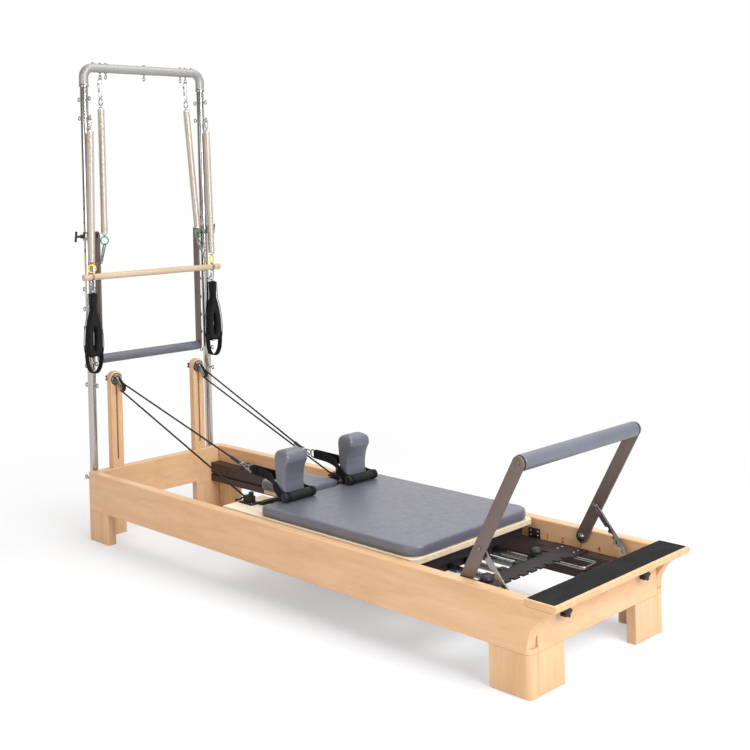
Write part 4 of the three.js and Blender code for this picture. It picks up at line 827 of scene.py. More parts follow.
for name, side in sides:
    y = side * shoulderRest["side"]
    local = [(u - headToMiddle, v) for u, v in restOutline()]
    cushion = plate([local], shoulderRest["thick"], shoulderRest["edge"], (headToMiddle, y, 0), (1, 0, 0), (0, 0, 1), 4)
    remeshed(cushion, 3.5)
    front = plate([restFront()], 140, 1, (1130, y, 0), (0, 1, 0), (0, 0, 1), 1)
    remeshed(front, 3.5)
    cutOut(cushion, front, way="INTERSECT")
    remeshed(cushion, 3.5)
    smoothed(cushion, 4)
    inflated(cushion, 3, 1.5, 332)
    finishPiece(cushion, name + "_shoulder_rest", "carriage", slateVinyl, (name + "_shoulder_rest",), 60)
    seams = []
    for way in (-1, 1):
        route = []
        for u, v in restOutline(4.4)[2:24]:
            inward = max(0, v - 474)
            edgeY = shoulderRest["thick"] / 2 - 3.6 - (30 - math.sqrt(max(0, 900 - inward ** 2)))
            route.append((u, y + way * edgeY, v))
        seams.append(wire(rounded(route, 5, 2), 0.8, False, 1))
    finishPiece(joined(*seams), name + "_rest_seam", "carriage", slateVinyl, (), 60)
print("shoulder rests")


def rollProfile(length, radius, edge, steps=5):
    points = [(0, 0), (0, radius - edge)]
    for k in range(1, steps + 1):
        t = math.radians(90 * k / steps)
        points.append((edge * (1 - math.cos(t)), radius - edge + edge * math.sin(t)))
    points += [(length * k / 8, radius) for k in range(1, 8)]
    for k in range(steps, 0, -1):
        t = math.radians(90 * k / steps)
        points.append((length - edge * (1 - math.cos(t)), radius - edge + edge * math.sin(t)))
    points += [(length, radius - edge), (length, 0)]
    return points


footRoller = {"x": 2338, "z": 650.4, "half": 285.4, "radius": 24.5, "edge": 5}
roller = turned(rollProfile(2 * footRoller["half"], footRoller["radius"], footRoller["edge"]),
                (footRoller["x"], -footRoller["half"], footRoller["z"]),
                (footRoller["x"], footRoller["half"], footRoller["z"]), 48)
finishPiece(roller, "footbar_roller", "footbar", slateVinyl, ("footbar_roller",), 40)
rollX, rollZ = footRoller["x"], footRoller["z"]
caps = [drum((rollX, side * 285.5, rollZ), (rollX, side * 287.8, rollZ), 23.6, 48, 0.5) for name, side in sides]
finishPiece(joined(*caps), "footbar_roller_caps", "footbar", blackPlastic)
seamX, seamZ = rollX - 24.6 * 0.5, rollZ - 24.6 * 0.866
seam = wire([(seamX, -278, seamZ), (seamX, 278, seamZ)], 0.7, False, 1)
finishPiece(seam, "footbar_roller_seam", "footbar", slateVinyl)

pushBar = {"x": -21, "high": 1272, "low": 745, "half": 246.4, "radius": 20}
pushRoller = turned(rollProfile(2 * pushBar["half"], pushBar["radius"], 5),
                    (pushBar["x"], -pushBar["half"], pushBar["low"]),
                    (pushBar["x"], pushBar["half"], pushBar["low"]), 40)
finishPiece(pushRoller, "push_bar_pad", "push_bar", slateVinyl, ("push_bar_pad",), 40)
print("rollers")

# footbar arms, props and spring bar

footbar = {"pivot": (2112, 259), "lean": 30, "reach": 452, "half": 22, "thick": 8, "side": 292}
leanWay = (math.sin(math.radians(footbar["lean"])), math.cos(math.radians(footbar["lean"])))


def stadium(half, length, steps=14):
    return arc(0, 0, half, 180, 360, steps) + arc(0, length, half, 0, 180, steps)


def onArm(reach, y):
    return (footbar["pivot"][0] + reach * leanWay[0], y, footbar["pivot"][1] + reach * leanWay[1])


def boltHead(spot, way, radius, high, dome=True):  # a low domed head that stands on a face
    out = Vector((0, way, 0))
    base = Vector(spot)
    profile = [(0, 0), (0, radius), (high * 0.35, radius), (high * 0.75, radius * 0.8), (high, radius * 0.42),
               (high, 0)]
    if not dome:
        profile = [(0, 0), (0, radius), (high * 0.8, radius), (high, radius * 0.85), (high, radius * 0.5),
                   (high * 0.45, radius * 0.45), (high * 0.45, 0)]
    return turned(profile, tuple(base), tuple(base + out), 24)


arms = []
for name, side in sides:
    across = (leanWay[1], 0, -leanWay[0])
    along = (leanWay[0], 0, leanWay[1])
    arm = plate([stadium(footbar["half"], footbar["reach"])], footbar["thick"], 1.2,
                (footbar["pivot"][0], side * footbar["side"], footbar["pivot"][1]), across, along, 2)
    arms.append(arm)
arms.append(drum((rollX, -288.5, rollZ), (rollX, 288.5, rollZ), 12, 24))
finishPiece(joined(*arms), "footbar_arms", "footbar", armBronze, ("footbar_frame",), 40)
bolts = []
for name, side in sides:
    bolts.append(drum(onArm(0, side * 287), onArm(0, side * 318), 9.8, 24))
    bolts.append(boltHead(onArm(0, side * 288.2), -side, 12.5, 8.5))
    bolts.append(drum(onArm(0, side * 287.9), onArm(0, side * 285.6), 15, 28, 0.5))
    bolts.append(boltHead(onArm(133, side * 295.8), side, 8.6, 4.2))
    bolts.append(drum(onArm(133, side * 289), onArm(133, side * 281), 6, 20))
    bolts.append(boltHead(onArm(133, side * 281.2), -side, 9.5, 5.5))
    bolts.append(boltHead(onArm(452, side * 295.9), side, 6.5, 2.6, False))
finishPiece(joined(*bolts), "footbar_bolts", "footbar", boltSteel, (), 40)

prop = {"pin": (2178.5, 374.2), "rail": (2256, 269), "half": 11, "reach": 166, "thick": 4.6, "notchAt": 9,
        "notch": 6.6, "pitch": 25}
dx, dz = prop["rail"][0] - prop["pin"][0], prop["rail"][1] - prop["pin"][1]
span = math.hypot(dx, dz)
along = math.sqrt(span ** 2 - prop["notchAt"] ** 2)
turn = math.atan2(dz, dx) + math.atan2(prop["notchAt"], along)
propOutline = [(0, 11)] + arc(0, 0, prop["half"], 90, 270, 12)[1:]
for k in range(4):
    at = along + prop["pitch"] * (k - 2)
    propOutline.append((at - prop["notch"] - 1.2, -prop["half"]))
    propOutline.append((at - prop["notch"], -prop["half"] + 1))
    propOutline += [(at + prop["notch"] * math.cos(math.radians(a)),
                     -prop["notchAt"] + prop["notch"] * math.sin(math.radians(a)))
                    for a in range(180, -1, -20)]
    propOutline.append((at + prop["notch"], -prop["half"] + 1))
    propOutline.append((at + prop["notch"] + 1.2, -prop["half"]))
propOutline = [p for p in propOutline if p[0] < prop["reach"]] + arc(prop["reach"], 0, prop["half"], -60, 90, 10)
pinHole = arc(0, 0, 6.5, 0, 345, 18)
for name, side in sides:
    strut = plate([propOutline, pinHole], prop["thick"], 0.5, (prop["pin"][0], side * 283.5, prop["pin"][1]),
                  (math.cos(turn), 0, math.sin(turn)), (-math.sin(turn), 0, math.cos(turn)), 1)
    finishPiece(strut, name + "_footbar_prop", name + "_prop", fittingSteel, (name + "_footbar_prop",),
                30)
print("footbar")

bar = {"low": 213.4, "thick": 5.9, "reach": 289.7, "armInner": 193.7, "notches": 9, "notchWide": 13, "notchDeep": 17,
       "front": 2128, "armFront": 2140, "armBack": 2000, "back": 2046}
reach, inner = bar["reach"], bar["armInner"]
barOutline = [(bar["armBack"], -reach), (bar["armFront"], -reach), (bar["armFront"], -inner), (bar["front"], -inner)]
pitch = 2 * bar["armInner"] / bar["notches"]
for i in range(bar["notches"]):
    y = -bar["armInner"] + pitch * (i + 0.5)
    half = bar["notchWide"] / 2
    bottom = bar["front"] - bar["notchDeep"] + half
    barOutline += [(bar["front"], y - half - 1.5), (bar["front"] - 2, y - half), (bottom, y - half)]
    barOutline += [(bottom - half * math.sin(math.radians(a)), y - half * math.cos(math.radians(a)))
                   for a in range(20, 180, 20)]
    barOutline += [(bottom, y + half), (bar["front"] - 2, y + half), (bar["front"], y + half + 1.5)]
barOutline += [(bar["front"], inner), (bar["armFront"], inner), (bar["armFront"], reach), (bar["armBack"], reach),
               (bar["armBack"], inner), (bar["back"], inner), (bar["back"], -inner), (bar["armBack"], -inner)]
local = [(u - headToMiddle, v) for u, v in barOutline]
barPlate = plate([local], bar["thick"], 0.7, (headToMiddle, 0, bar["low"] + bar["thick"] / 2), (1, 0, 0), (0, 1, 0), 1)
flange = soften(block((bar["back"], -inner, 187.3), (2052, inner, 214)), 0.8)
lug = soften(block((1996, 140, 213.6), (2052, 184, 219.2)), 1.2)
finishPiece(joined(barPlate, flange, lug), "spring_bar_plate", "spring_bar", plateBlack,
            ("spring_bar",), 30)
domeShape = [(0, 0), (0, 18), (2, 20.5), (7, 20.8), (13, 17.6), (17.5, 11), (19.5, 0)]
domes = [turned(domeShape, (x, y, 219), (x, y, 230), 36) for x, y in ((2074, -148), (2019, 162))]
finishPiece(joined(*domes), "spring_bar_knobs", "spring_bar", blackPlastic, (), 50)
fittings = []
for i in range(-2, 3):
    y, z = i * 75, 196  # one hook for each carriage spring
    fittings.append(drum((2050, y, z), (2020.2, y, z), 4.4, 20, 0.8))
    fittings.append(drum((bar["back"], y, z), (2040, y, z), 9, 6, 0.6))
for name, side in sides:
    for x in (2048, 2116):
        for y in (241.7, 265.7):
            fittings.append(turned([(0, 0), (0, 5.2), (1, 5), (1.9, 3.6), (2, 1.6), (0.9, 1.4), (0.9, 0)],
                                   (x, side * y, 219.2), (x, side * y, 225), 20))
grip = wire(rounded([(2095, 150, 210.8), (2224, 150, 210.8), (2224, 224, 210.8), (2126, 224, 210.8)], 14, 6), 4.9,
            False, 3)
fittings.append(grip)
finishPiece(joined(*fittings), "spring_bar_fittings", "spring_bar", fittingSteel, (), 40)
print("spring bar")

# springs


def hookedSpring(start, end, radius, gauge, turns, tail, steps=12, around=6):
    a, b = Vector(start), Vector(end)
    way = (b - a).normalized()
    coil = coilSpring(tuple(a + way * tail), tuple(b - way * tail), radius, gauge, turns, steps, around)
    side = way.orthogonal().normalized()
    hooks = []
    for tip, inward in ((a, way), (b, -way)):
        route = [tip + inward * (tail + gauge) + side * radius * 0.9, tip + inward * tail * 0.75 + side * radius * 0.75,
                 tip + inward * gauge, tip + inward * tail * 0.6 - side * radius * 0.6]
        hooks.append(wire(rounded([tuple(p) for p in route], 6, 4), gauge, False, 1))
    return joined(coil, *hooks)


# A piece between the two bodies of a joint, which bends or stretches in use, is baked in place and attached to neither
# body.
def settleBlend(piece, name, finish, nodes):
    piece.name = name
    piece.data.name = name
    painted(piece, finish)
    chooseOnly(piece)
    bpy.ops.object.shade_smooth_by_angle(angle=math.radians(60))
    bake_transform(piece)
    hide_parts(*nodes)


carriageSpring = {"radius": 9.4, "wire": 1.6, "backTurns": 56, "frontTurns": 40, "back": 1846.6, "middle": 1930,
                  "front": 2019.6, "high": 196, "pitch": 75}
sleeveShape = [(0, 0), (0, 11.4), (2, 12.8), (30, 12.8), (34, 11.6), (34, 0)]
for i in range(-2, 3):
    y, z = i * carriageSpring["pitch"], carriageSpring["high"]
    node = "carriage_spring_" + str(i + 3)
    radius, gauge = carriageSpring["radius"], carriageSpring["wire"]
    middle = (carriageSpring["middle"], y, z)
    first = coilSpring((carriageSpring["back"], y, z), middle, radius, gauge, carriageSpring["backTurns"], 12, 6)
    settleBlend(first, node + "_back", coilSteel, (node,))
    second = coilSpring(middle, (carriageSpring["front"], y, z), radius, gauge, carriageSpring["frontTurns"], 12, 6)
    settleBlend(second, node + "_front", coilSteel, (node,))
    back = turned(sleeveShape, (1846.8, y, z), (1880, y, z), 24)
    finishPiece(back, node + "_back_sleeve", "carriage", blackPlastic, (), 40)
    holder = soften(block((1998, y - 13, 183.5), (2019.4, y + 13, 208.5)), 2)
    finishPiece(holder, node + "_front_sleeve", "spring_bar", blackPlastic, (), 40)

towerSpring = {"radius": 12.9, "wire": 2.35, "tail": 12, "innerTurns": 106, "outerTurns": 112}
for name, side in sides:
    inner = hookedSpring((14, side * 236, 1270), (-21, side * 216, 1827.1), towerSpring["radius"],
                         towerSpring["wire"], towerSpring["innerTurns"], towerSpring["tail"])
    finishPiece(inner, name + "_inner_spring", "bed", springSteel, (name + "_inner_spring",), 60)
    outer = hookedSpring((22, side * 304, 1152.3), (22, side * 294.6, 1730), towerSpring["radius"],
                         towerSpring["wire"], towerSpring["outerTurns"], towerSpring["tail"])
    settleBlend(outer, name + "_outer_spring", springSteel, (name + "_outer_spring",))
    hook = snapHook((22, side * 294, 1766), (22, side * 294.5, 1737), 15, 2.3, (0.5, 0.85, 0))
    finishPiece(hook, name + "_outer_hook", "outer_springs", fittingSteel, (), 40)
print("springs")

# ropes, straps and grips

ropeRoute = {"start": (817.1, 154, 404), "centre": (78, 208, 627), "wrap": 17.8, "end": (930.25, 214, 303.3),
             "radius": 3.5, "split": 112, "travel": 700}


def ropePoints(side):
    cx, cy, cz = ropeRoute["centre"]
    start, end, wrap = ropeRoute["start"], ropeRoute["end"], ropeRoute["wrap"]

    def touch(point, sign):
        u, v = point[0] - cx, point[2] - cz
        return math.atan2(v, u) + sign * math.acos(wrap / math.hypot(u, v))

    first, last = touch(start, 1), touch(end, -1) + 2 * math.pi
    points = [(start[0], side * start[1], start[2])]
    entry = (cx + wrap * math.cos(first), side * cy, cz + wrap * math.sin(first))
    for k in range(1, 30):
        t = k / 30
        points.append(tuple(points[0][i] * (1 - t) + entry[i] * t for i in range(3)))
    for k in range(19):
        a = first + (last - first) * k / 18
        points.append((cx + wrap * math.cos(a), side * cy, cz + wrap * math.sin(a)))
    leave = points[-1]
    finish = (end[0], side * end[1], end[2])
    for k in range(1, 34):
        t = k / 33
        points.append(tuple(leave[i] * (1 - t) + finish[i] * t for i in range(3)))
    return points


def crossing(a, b, x):
    t = (x - a[0]) / (b[0] - a[0])
    return tuple(a[i] * (1 - t) + b[i] * t for i in range(3))


# Each rope is three pieces: two legs on the bed body, which in use shorten with the carriage's travel, and the head
# round the pulley, baked in place on no body.
for name, side in sides:
    points = ropePoints(side)
    split = ropeRoute["split"]
    inside = [i for i, point in enumerate(points) if point[0] < split]
    before, after = inside[0], inside[-1] + 1
    enter = crossing(points[before - 1], points[before], split)
    leave = crossing(points[after - 1], points[after], split)
    legs = ((points[:before] + [enter], "_rope", (name + "_rope",)), ([leave] + points[after:], "_rope_cleat_leg", ()))
    for route, word, nodes in legs:
        leg = wire(route, ropeRoute["radius"], False, 3)
        finishPiece(leg, name + word, "bed", ropeBraid, nodes, 60)
        reach = max(point[0] for point in route) - split
        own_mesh(leg)
    head = wire([enter] + points[before:after] + [leave], ropeRoute["radius"], False, 3)
    settleBlend(head, name + "_rope_head", ropeBraid, ())
    start, second = Vector(points[0]), Vector(points[3])
    way = (second - start).normalized()
    sleeve = turned([(-2, 0), (-2, 4.2), (0, 6.2), (40, 6.3), (50, 5.6), (56, 3.9), (56, 0)], tuple(start),
                    tuple(start + way), 24)
    rings = [hoop(tuple(start + way * d), tuple(way), 6.1, 0.8, 24, 6) for d in (6, 12, 44)]
    finishPiece(joined(sleeve, *rings), name + "_rope_sleeve", "carriage", blackPlastic, (), 40)
print("ropes")


def ribbon(points, wide, thick):
    return curvePiece("ribbon", [[place(*point) for point in points]], False, dimensions="3D", twist_mode="Z_UP",
                      extrude=(wide - thick) / 2000, bevel_depth=thick / 2000, bevel_resolution=1, use_fill_caps=True)


strap = {"side": 154, "ringX": 888, "ringZ": 392, "bandX": 903, "gripX": 1172, "gripZ": 341.5, "wide": 35, "thick": 2.8}
strapWay = ((0, 0, 0), (0.3, 0.06, 0.05), (0.52, 0.18, 0.28), (0.69, 0.32, 0.84), (0.775, 0.66, 0.9),
            (0.86, 0.95, 0.96), (1, 1, 1))
for name, side in sides:
    y, gripX, gripZ = side * strap["side"], strap["gripX"], strap["gripZ"]
    run, fall = gripX - strap["bandX"], strap["ringZ"] - gripZ
    bands = []
    for way in (-1, 1):
        route = [(strap["bandX"] + run * along, y + way * (4 + 53.5 * spread), strap["ringZ"] - fall * drop)
                 for along, drop, spread in strapWay]
        bands.append(ribbon(rounded(route, 24, 5), strap["wide"], strap["thick"]))
    bands.append(soften(block((897, y - 7, 376), (917, y + 7, 408)), 2.5, 2))
    for way in (1, -1):
        bands.append(turned([(0, 17), (0, 18.2), (6, 18.5), (12, 18.2), (12, 17), (0, 17)],
                            (gripX, y + way * 48, gripZ), (gripX, y + way * 60, gripZ), 32))
    finishPiece(joined(*bands), name + "_strap_bands", "carriage", webbing, (name + "_strap_loop",),
                40)
    foam = turned(rollProfile(134, 17, 3), (gripX, y - 67, gripZ), (gripX, y + 67, gripZ), 36)
    finishPiece(foam, name + "_hand_grip", "carriage", gripFoam, (), 40)
    ends = []
    for way in (-1, 1):
        ends.append(turned([(0, 0), (0, 16.8), (2.4, 16.8), (3.4, 15.6), (3.4, 11), (1.4, 10), (1.4, 5), (2.6, 4.2),
                            (2.6, 0)],
                           (gripX, y + way * 66.5, gripZ), (gripX, y + way * 72, gripZ), 32))
    finishPiece(joined(*ends), name + "_grip_caps", "carriage", blackPlastic, (), 40)
    ring = hoop((strap["ringX"], y, strap["ringZ"]), (0, 1, 0), 15, 2.9, 36, 10)
    hook = snapHook((874.5, y, 391.6), (845, y, 399.3), 19, 2.5, (0.25, 0, 0.97))
    eye = hoop((828, y, 403.7), (0, 1, 0), 6.8, 2.4, 24, 8)
    barrel = drum((836, y, 401.7), (846, y, 399.1), 4.6, 16, 0.8)
    finishPiece(joined(ring, hook, eye, barrel), name + "_strap_hook", "carriage", fittingSteel, (), 40)
print("hand straps")

# A padded foot loop: a teardrop with a narrow slot, and a thin strap below it.
footLoop = {"side": 304, "x": 22, "thick": 34}


def bandOutline(route, thick):  # both sides of a thin strap that follows a flat route
    left, right = [], []
    for i, (u, v) in enumerate(route):
        before, after = route[max(i - 1, 0)], route[min(i + 1, len(route) - 1)]
        du, dv = after[0] - before[0], after[1] - before[1]
        size = math.hypot(du, dv)
        left.append((u - dv / size * thick / 2, v + du / size * thick / 2))
        right.append((u + dv / size * thick / 2, v - du / size * thick / 2))
    return left + right[::-1]


def mirrored(points):
    return points + [(-u, v) for u, v in reversed(points) if abs(u) > 0.01]


for name, side in sides:
    y = side * footLoop["side"]
    outer = mirrored([(11, 1031), (12.5, 958)] + bend((12.5, 958), (36, 888), (36, 812), 10)
                     + bend((36, 812), (34, 764), (17, 764), 6)
                     + [(8, 768)])
    slot = [(8 * math.cos(math.radians(a)), 840 + 50 * math.sin(math.radians(a))) for a in range(0, 360, 18)]
    cushion = plate([outer, slot], footLoop["thick"], 9, (footLoop["x"], y, 0), (0, 1, 0), (0, 0, 1), 4)
    finishPiece(cushion, name + "_foot_loop", "roll_bar", webbing, (name + "_foot_loop",), 50)
    lower = [(u, v) for u, w, v in rounded([(-33, 0, 806), (-34, 0, 770), (-29, 0, 722), (-12, 0, 696), (12, 0, 696),
                                            (29, 0, 722),
                                            (34, 0, 770), (33, 0, 806)], 22, 5)]
    band = plate([bandOutline(lower, 3.4)], 30, 1, (footLoop["x"], y, 0), (0, 1, 0), (0, 0, 1), 1)
    binding = wire(rounded([(40, y + u, v) for u, v in outer], 5, 2, True), 1.4, True, 1)
    backBinding = wire(rounded([(4, y + u, v) for u, v in outer], 5, 2, True), 1.4, True, 1)
    tongue = soften(block((8, y - 12.5, 985), (36, y + 12.5, 1032)), 3, 2)
    finishPiece(joined(band, binding, backBinding, tongue), name + "_loop_strap", "roll_bar",
                webbing, (), 50)
print("foot loops")


# The shoulder rests stand on slim black brackets, and each rope ends in a cleat beside them.
cleat = {"side": 214, "camX": 966, "camReach": 8.2, "teeth": 12}
for name, side in sides:
    y, cleatY, camX = side * shoulderRest["side"], side * cleat["side"], cleat["camX"]
    low, high = sorted((side * 128, side * 206))
    cross = soften(block((996, low, 285.4), (1022, high, 297)), 1.6)
    runner = soften(block((1010, y - 14, 285.4), (1091.5, y + 14, 291)), 1.2)
    upright = soften(block((1085.9, y - 27, 285.4), (1091.5, y + 27, 428)), 1.4)
    base = soften(block((916, cleatY - 20, 285.4), (992, cleatY + 20, 291.5)), 1.6)
    body = soften(block((931, cleatY - 12.5, 291), (976, cleatY + 12.5, 314)), 2.4)
    trough = drum((925, cleatY, 303.5), (946, cleatY, 303.5), 5, 20)
    cutOut(body, trough)
    cam = turned([(0, 0), (0, 9), (10, 9), (12, 7.6), (30, 7.6), (34, 10), (38, 9.4), (40, 5), (40, 0)],
                 (camX, cleatY, 290), (camX, cleatY, 328), 28)
    teeth = []
    for k in range(cleat["teeth"]):
        a = 2 * math.pi * k / cleat["teeth"]
        toothX, toothY = camX + cleat["camReach"] * math.cos(a), cleatY + cleat["camReach"] * math.sin(a)
        teeth.append(drum((toothX, toothY, 315), (toothX, toothY, 322), 1.1, 8))
    finishPiece(joined(cross, runner, upright, base, body, cam, *teeth), name + "_rest_bracket", "carriage",
                plateBlack,
                (name + "_rest_bracket",), 35)
    screws = []
    for x, v in ((1004, side * 136), (1004, side * 198), (924, side * 200), (924, side * 228), (985, side * 200),
                 (985, side * 228)):
        level = 296.8 if x == 1004 else 291.3
        screws.append(turned([(0, 0), (0, 4), (1, 3.8), (1.9, 2.4), (2, 1.2), (1.1, 1), (1.1, 0)], (x, v, level),
                             (x, v, level + 4), 16))
    finishPiece(joined(*screws), name + "_bracket_screws", "carriage", fittingSteel, (), 40)
    tailRoute = [(934, cleatY, 303.4), (922, side * 217, 303.4), (905, side * 224, 292), (893, side * 229, 289.2)]
    tail = wire(rounded(tailRoute, 9, 5), 3.4, False, 3)
    knot = ball((894, side * 229, 290.4), 5.4, (1.25, 1, 0.9), 16)
    finishPiece(joined(tail, knot), name + "_rope_tail", "carriage", ropeBraid, (), 60)
print("rest brackets")

# the tower

tower = {"x": -21, "side": 294, "radius": 17, "low": 60, "top": 1949, "tube": 19.5, "high": 1990, "bend": 42}
backEyes = (1855, 1775, 1045, 960, 878, 798, 717, 637)
frontEyes = (1855, 1775, 1048, 732, 640)


# One eyebolt at the middle of the frame, pointing along +X: the ring, its shank and a lock nut.
def makeEyebolt(reach):
    loop = hoop((headToMiddle + reach, 0, 0), (0, 1, 0), 8, 2.2, 24, 8)
    shank = drum((headToMiddle + 10, 0, 0), (headToMiddle + reach - 7.4, 0, 0), 2.9, 12)
    nut = drum((headToMiddle + 16.2, 0, 0), (headToMiddle + 20.5, 0, 0), 5.6, 6, 0.5)
    return joined(loop, shank, nut)


def copied(master, move, turn=0.0):  # a copy with its own mesh, turned about the upright axis and moved
    chooseOnly(master)
    bpy.ops.object.duplicate(linked=False)
    piece = bpy.context.active_object
    piece.matrix_world = Matrix.Translation(place(*move)) @ Matrix.Rotation(turn, 4, "Z")
    return settle(piece)


eyeMaster = makeEyebolt(43)
for name, side in sides:
    y = side * tower["side"]
    post = drum((tower["x"], y, tower["low"]), (tower["x"], y, tower["top"]), tower["radius"], 56, 1)
    cutOut(post, *[drum((tower["x"], y - 30, z), (tower["x"], y + 30, z), 4.5, 20) for z in (1212, 1330, 1390)])
    seat = turned([(0, 17), (0, 21.5), (8, 21.5), (9.5, 20.5), (9.5, 17), (0, 17)], (tower["x"], y, 1908),
                  (tower["x"], y, 1918), 48)
    finishPiece(joined(post, seat), name + "_post_tube", "bed", postSteel, (name + "_post",), 40)
    eyes = [copied(eyeMaster, (tower["x"], y, z), math.pi) for z in backEyes]
    eyes += [copied(eyeMaster, (tower["x"], y, z)) for z in frontEyes]
    low = copied(eyeMaster, (tower["x"] - 23, y, 240), math.pi)
    stem = drum((tower["x"] - 12, y, 240), (tower["x"] - 50, y, 240), 3, 12)
    slant = Vector((21, side * 257.5, 1152)) - Vector((tower["x"], y, 1152))
    eyes += [low, stem, copied(eyeMaster, (tower["x"], y, 1152), math.atan2(slant.y, slant.x))]
    for z in (1855, 1775, 1045, 732, 640):
        eyes.append(drum((tower["x"] - 16.4, y, z), (tower["x"] + 16.4, y, z), 2.9, 10))
    finishPiece(joined(*eyes), name + "_eyebolts", "bed", fittingSteel, (), 40)
    knob = turned([(0, 0), (0, 6), (3, 9), (19, 9), (22, 7), (22, 0)], (-38, y, 240), (-60, y, 240), 24)
    finishPiece(knob, name + "_low_knob", "bed", blackPlastic, (), 40)
    saddles = []
    for z in (86, 218):
        strapPlate = soften(block((-5.3, y - 26, z), (-0.4, y + 26, z + 46)), 1.4)
        wrapRoute = arc(tower["x"], 0, 18.6, 76, 284, 18)
        inner = [(u - headToMiddle, v) for u, v in arc(tower["x"], 0, 17.2, 284, 76, 18)]
        outer = [(u - headToMiddle, v) for u, v in [(-3, 18.6)] + wrapRoute + [(-3, -18.6), (-3, -17.2)]]
        wrapPlate = plate([outer + inner + [(-3 - headToMiddle, 17.2)]], 40, 0.5, (headToMiddle, y, z + 23),
                          (1, 0, 0), (0, 1, 0), 1)
        saddles += [strapPlate, wrapPlate]
        for way in (-1, 1):
            saddles.append(turned([(0, 0), (0, 4.2), (1.2, 4), (2.4, 2.6), (2.6, 1.4), (1.6, 1.2), (1.6, 0)],
                                  (-5.2, y + way * 22, z + 23), (-9, y + way * 22, z + 23), 18))
    finishPiece(joined(*saddles), name + "_post_saddles", "bed", plateBlack, (), 40)
    facing = (0.6, -0.8, 0) if side < 0 else (0.95, 0.31, 0)
    band = hoop((14, side * 236, 1250.5), facing, 16.6, 2.9, 36, 10)
    tab = drum((14, side * 236, 1265), (14, side * 236, 1272), 3.4, 12, 0.6)
    finishPiece(joined(band, tab), name + "_green_ring", "bed", greenRing, (), 40)
    top, foot = (14, side * 236, 1236), (20.6, side * 256.5, 1162)
    finishPiece(snapHook(top, foot, 17, 2.6, (1, 0, 0)), name + "_lower_hook", "bed", fittingSteel, (),
                40)
bpy.data.objects.remove(eyeMaster)
print("posts")

tubeRoute = [(tower["x"], -tower["side"], 1917)]
tubeRoute += [(tower["x"], u, v) for u, v in arc(-tower["side"] + tower["bend"], tower["high"] - tower["bend"],
                                                 tower["bend"], 180, 90, 14)]
tubeRoute += [(tower["x"], u, v) for u, v in arc(tower["side"] - tower["bend"], tower["high"] - tower["bend"],
                                                 tower["bend"], 90, 0, 14)]
tubeRoute.append((tower["x"], tower["side"], 1917))
tube = wire(tubeRoute, tower["tube"], False, 10)
finishPiece(tube, "tower_top_bar", "bed", barSteel, ("tower_top_tube",), 50)
bars = []
for y in (-216, -189, 0, 189, 216):
    bars.append(hoop((tower["x"], y, 1952), (0, 1, 0), 8, 2.2, 24, 8))
    bars.append(drum((tower["x"], y, 1959.5), (tower["x"], y, 1975), 2.9, 12))
    bars.append(drum((tower["x"], y, 1966.5), (tower["x"], y, 1971.5), 5.6, 6, 0.5))
for y in (-249, -216, -189, 0, 189, 216, 249):
    bars.append(turned([(0, 0), (0, 8.4), (1.6, 8.4), (1.8, 6.4), (4.4, 6), (5.6, 4.4), (6.4, 0)],
                       (tower["x"], y, 2008.2), (tower["x"], y, 2012), 24))
for name, side in sides:
    y = side * 216
    bars.append(snapHook((tower["x"], y, 1944), (tower["x"], y, 1866), 18, 2.6, (0.6, 0.8, 0)))
    bars.append(hoop((tower["x"], y, 1845), (0, 1, 0), 14.8, 2.5, 32, 8))
finishPiece(joined(*bars), "tower_bar_fittings", "bed", fittingSteel, (), 40)
print("top bar")

# collars and the push bar

collarShape = [(0, 17.4), (0, 20.6), (1.2, 21.6), (34.8, 21.6), (36, 20.6), (36, 17.4), (0, 17.4)]
handleShape = [(0, 0), (1.5, 3.6), (5, 5.2), (20, 4.6), (28, 4.6), (43, 5.2), (46.5, 3.6), (48, 0)]
barX, collarZ, padZ = pushBar["x"], pushBar["high"], pushBar["low"]
for name, side in sides:
    y = side * tower["side"]
    body = turned(collarShape, (barX, y, collarZ - 18), (barX, y, collarZ + 18), 44)
    near, far = sorted((y - side * 18, y - side * 30))
    lug = soften(block((barX - 10, near, collarZ - 12), (barX + 10, far, collarZ + 12)), 2.5)
    pin = drum((barX, y - side * 22, collarZ), (barX, y - side * 48, collarZ), 7.8, 24, 0.6)
    finishPiece(joined(body, lug, pin), name + "_collar", "push_bar_collars", fittingSteel,
                (name + "_collar",), 40)
    neck = drum((barX, y + side * 18, collarZ), (barX, y + side * 33, collarZ), 8.4, 24, 1)
    stem = drum((barX, y + side * 30, collarZ), (barX, y + side * 56, collarZ), 4.8, 20)
    tilt = math.radians(12)
    tip = Vector((24 * math.sin(tilt), 0, 24 * math.cos(tilt)))
    middle = Vector((barX, y + side * 55.5, collarZ))
    cross = turned(handleShape, tuple(middle - tip), tuple(middle + tip), 20)
    finishPiece(joined(neck, stem, cross), name + "_collar_handle", "push_bar_collars", blackPlastic,
                (), 40)

pushArms = []
for name, side in sides:
    outline = [(u, v) for u, v in arc(0, 0, 19, 0, 180, 14) + arc(0, padZ - collarZ, 19, 180, 360, 14)]
    hole = arc(0, 0, 8.8, 0, 345, 24)
    pushArms.append(plate([outline, hole], 8, 1, (barX, side * 251, collarZ), (1, 0, 0), (0, 0, 1), 2))
pushArms.append(drum((barX, -247.5, padZ), (barX, 247.5, padZ), 11, 24))
finishPiece(joined(*pushArms), "push_bar_arms", "push_bar", armBronze, ("push_bar_frame",), 40)
bolts = [boltHead((barX, side * 254.8, padZ), side, 8, 4) for name, side in sides]
for name, side in sides:
    bolts.append(turned([(0, 9), (0, 13), (1.8, 13), (2.2, 12), (2.2, 9), (0, 9)],
                        (barX, side * 246.9, collarZ), (barX, side * 244, collarZ), 28))
finishPiece(joined(*bolts), "push_bar_bolts", "push_bar", fittingSteel, (), 40)
print("push bar")

# roll-down bar

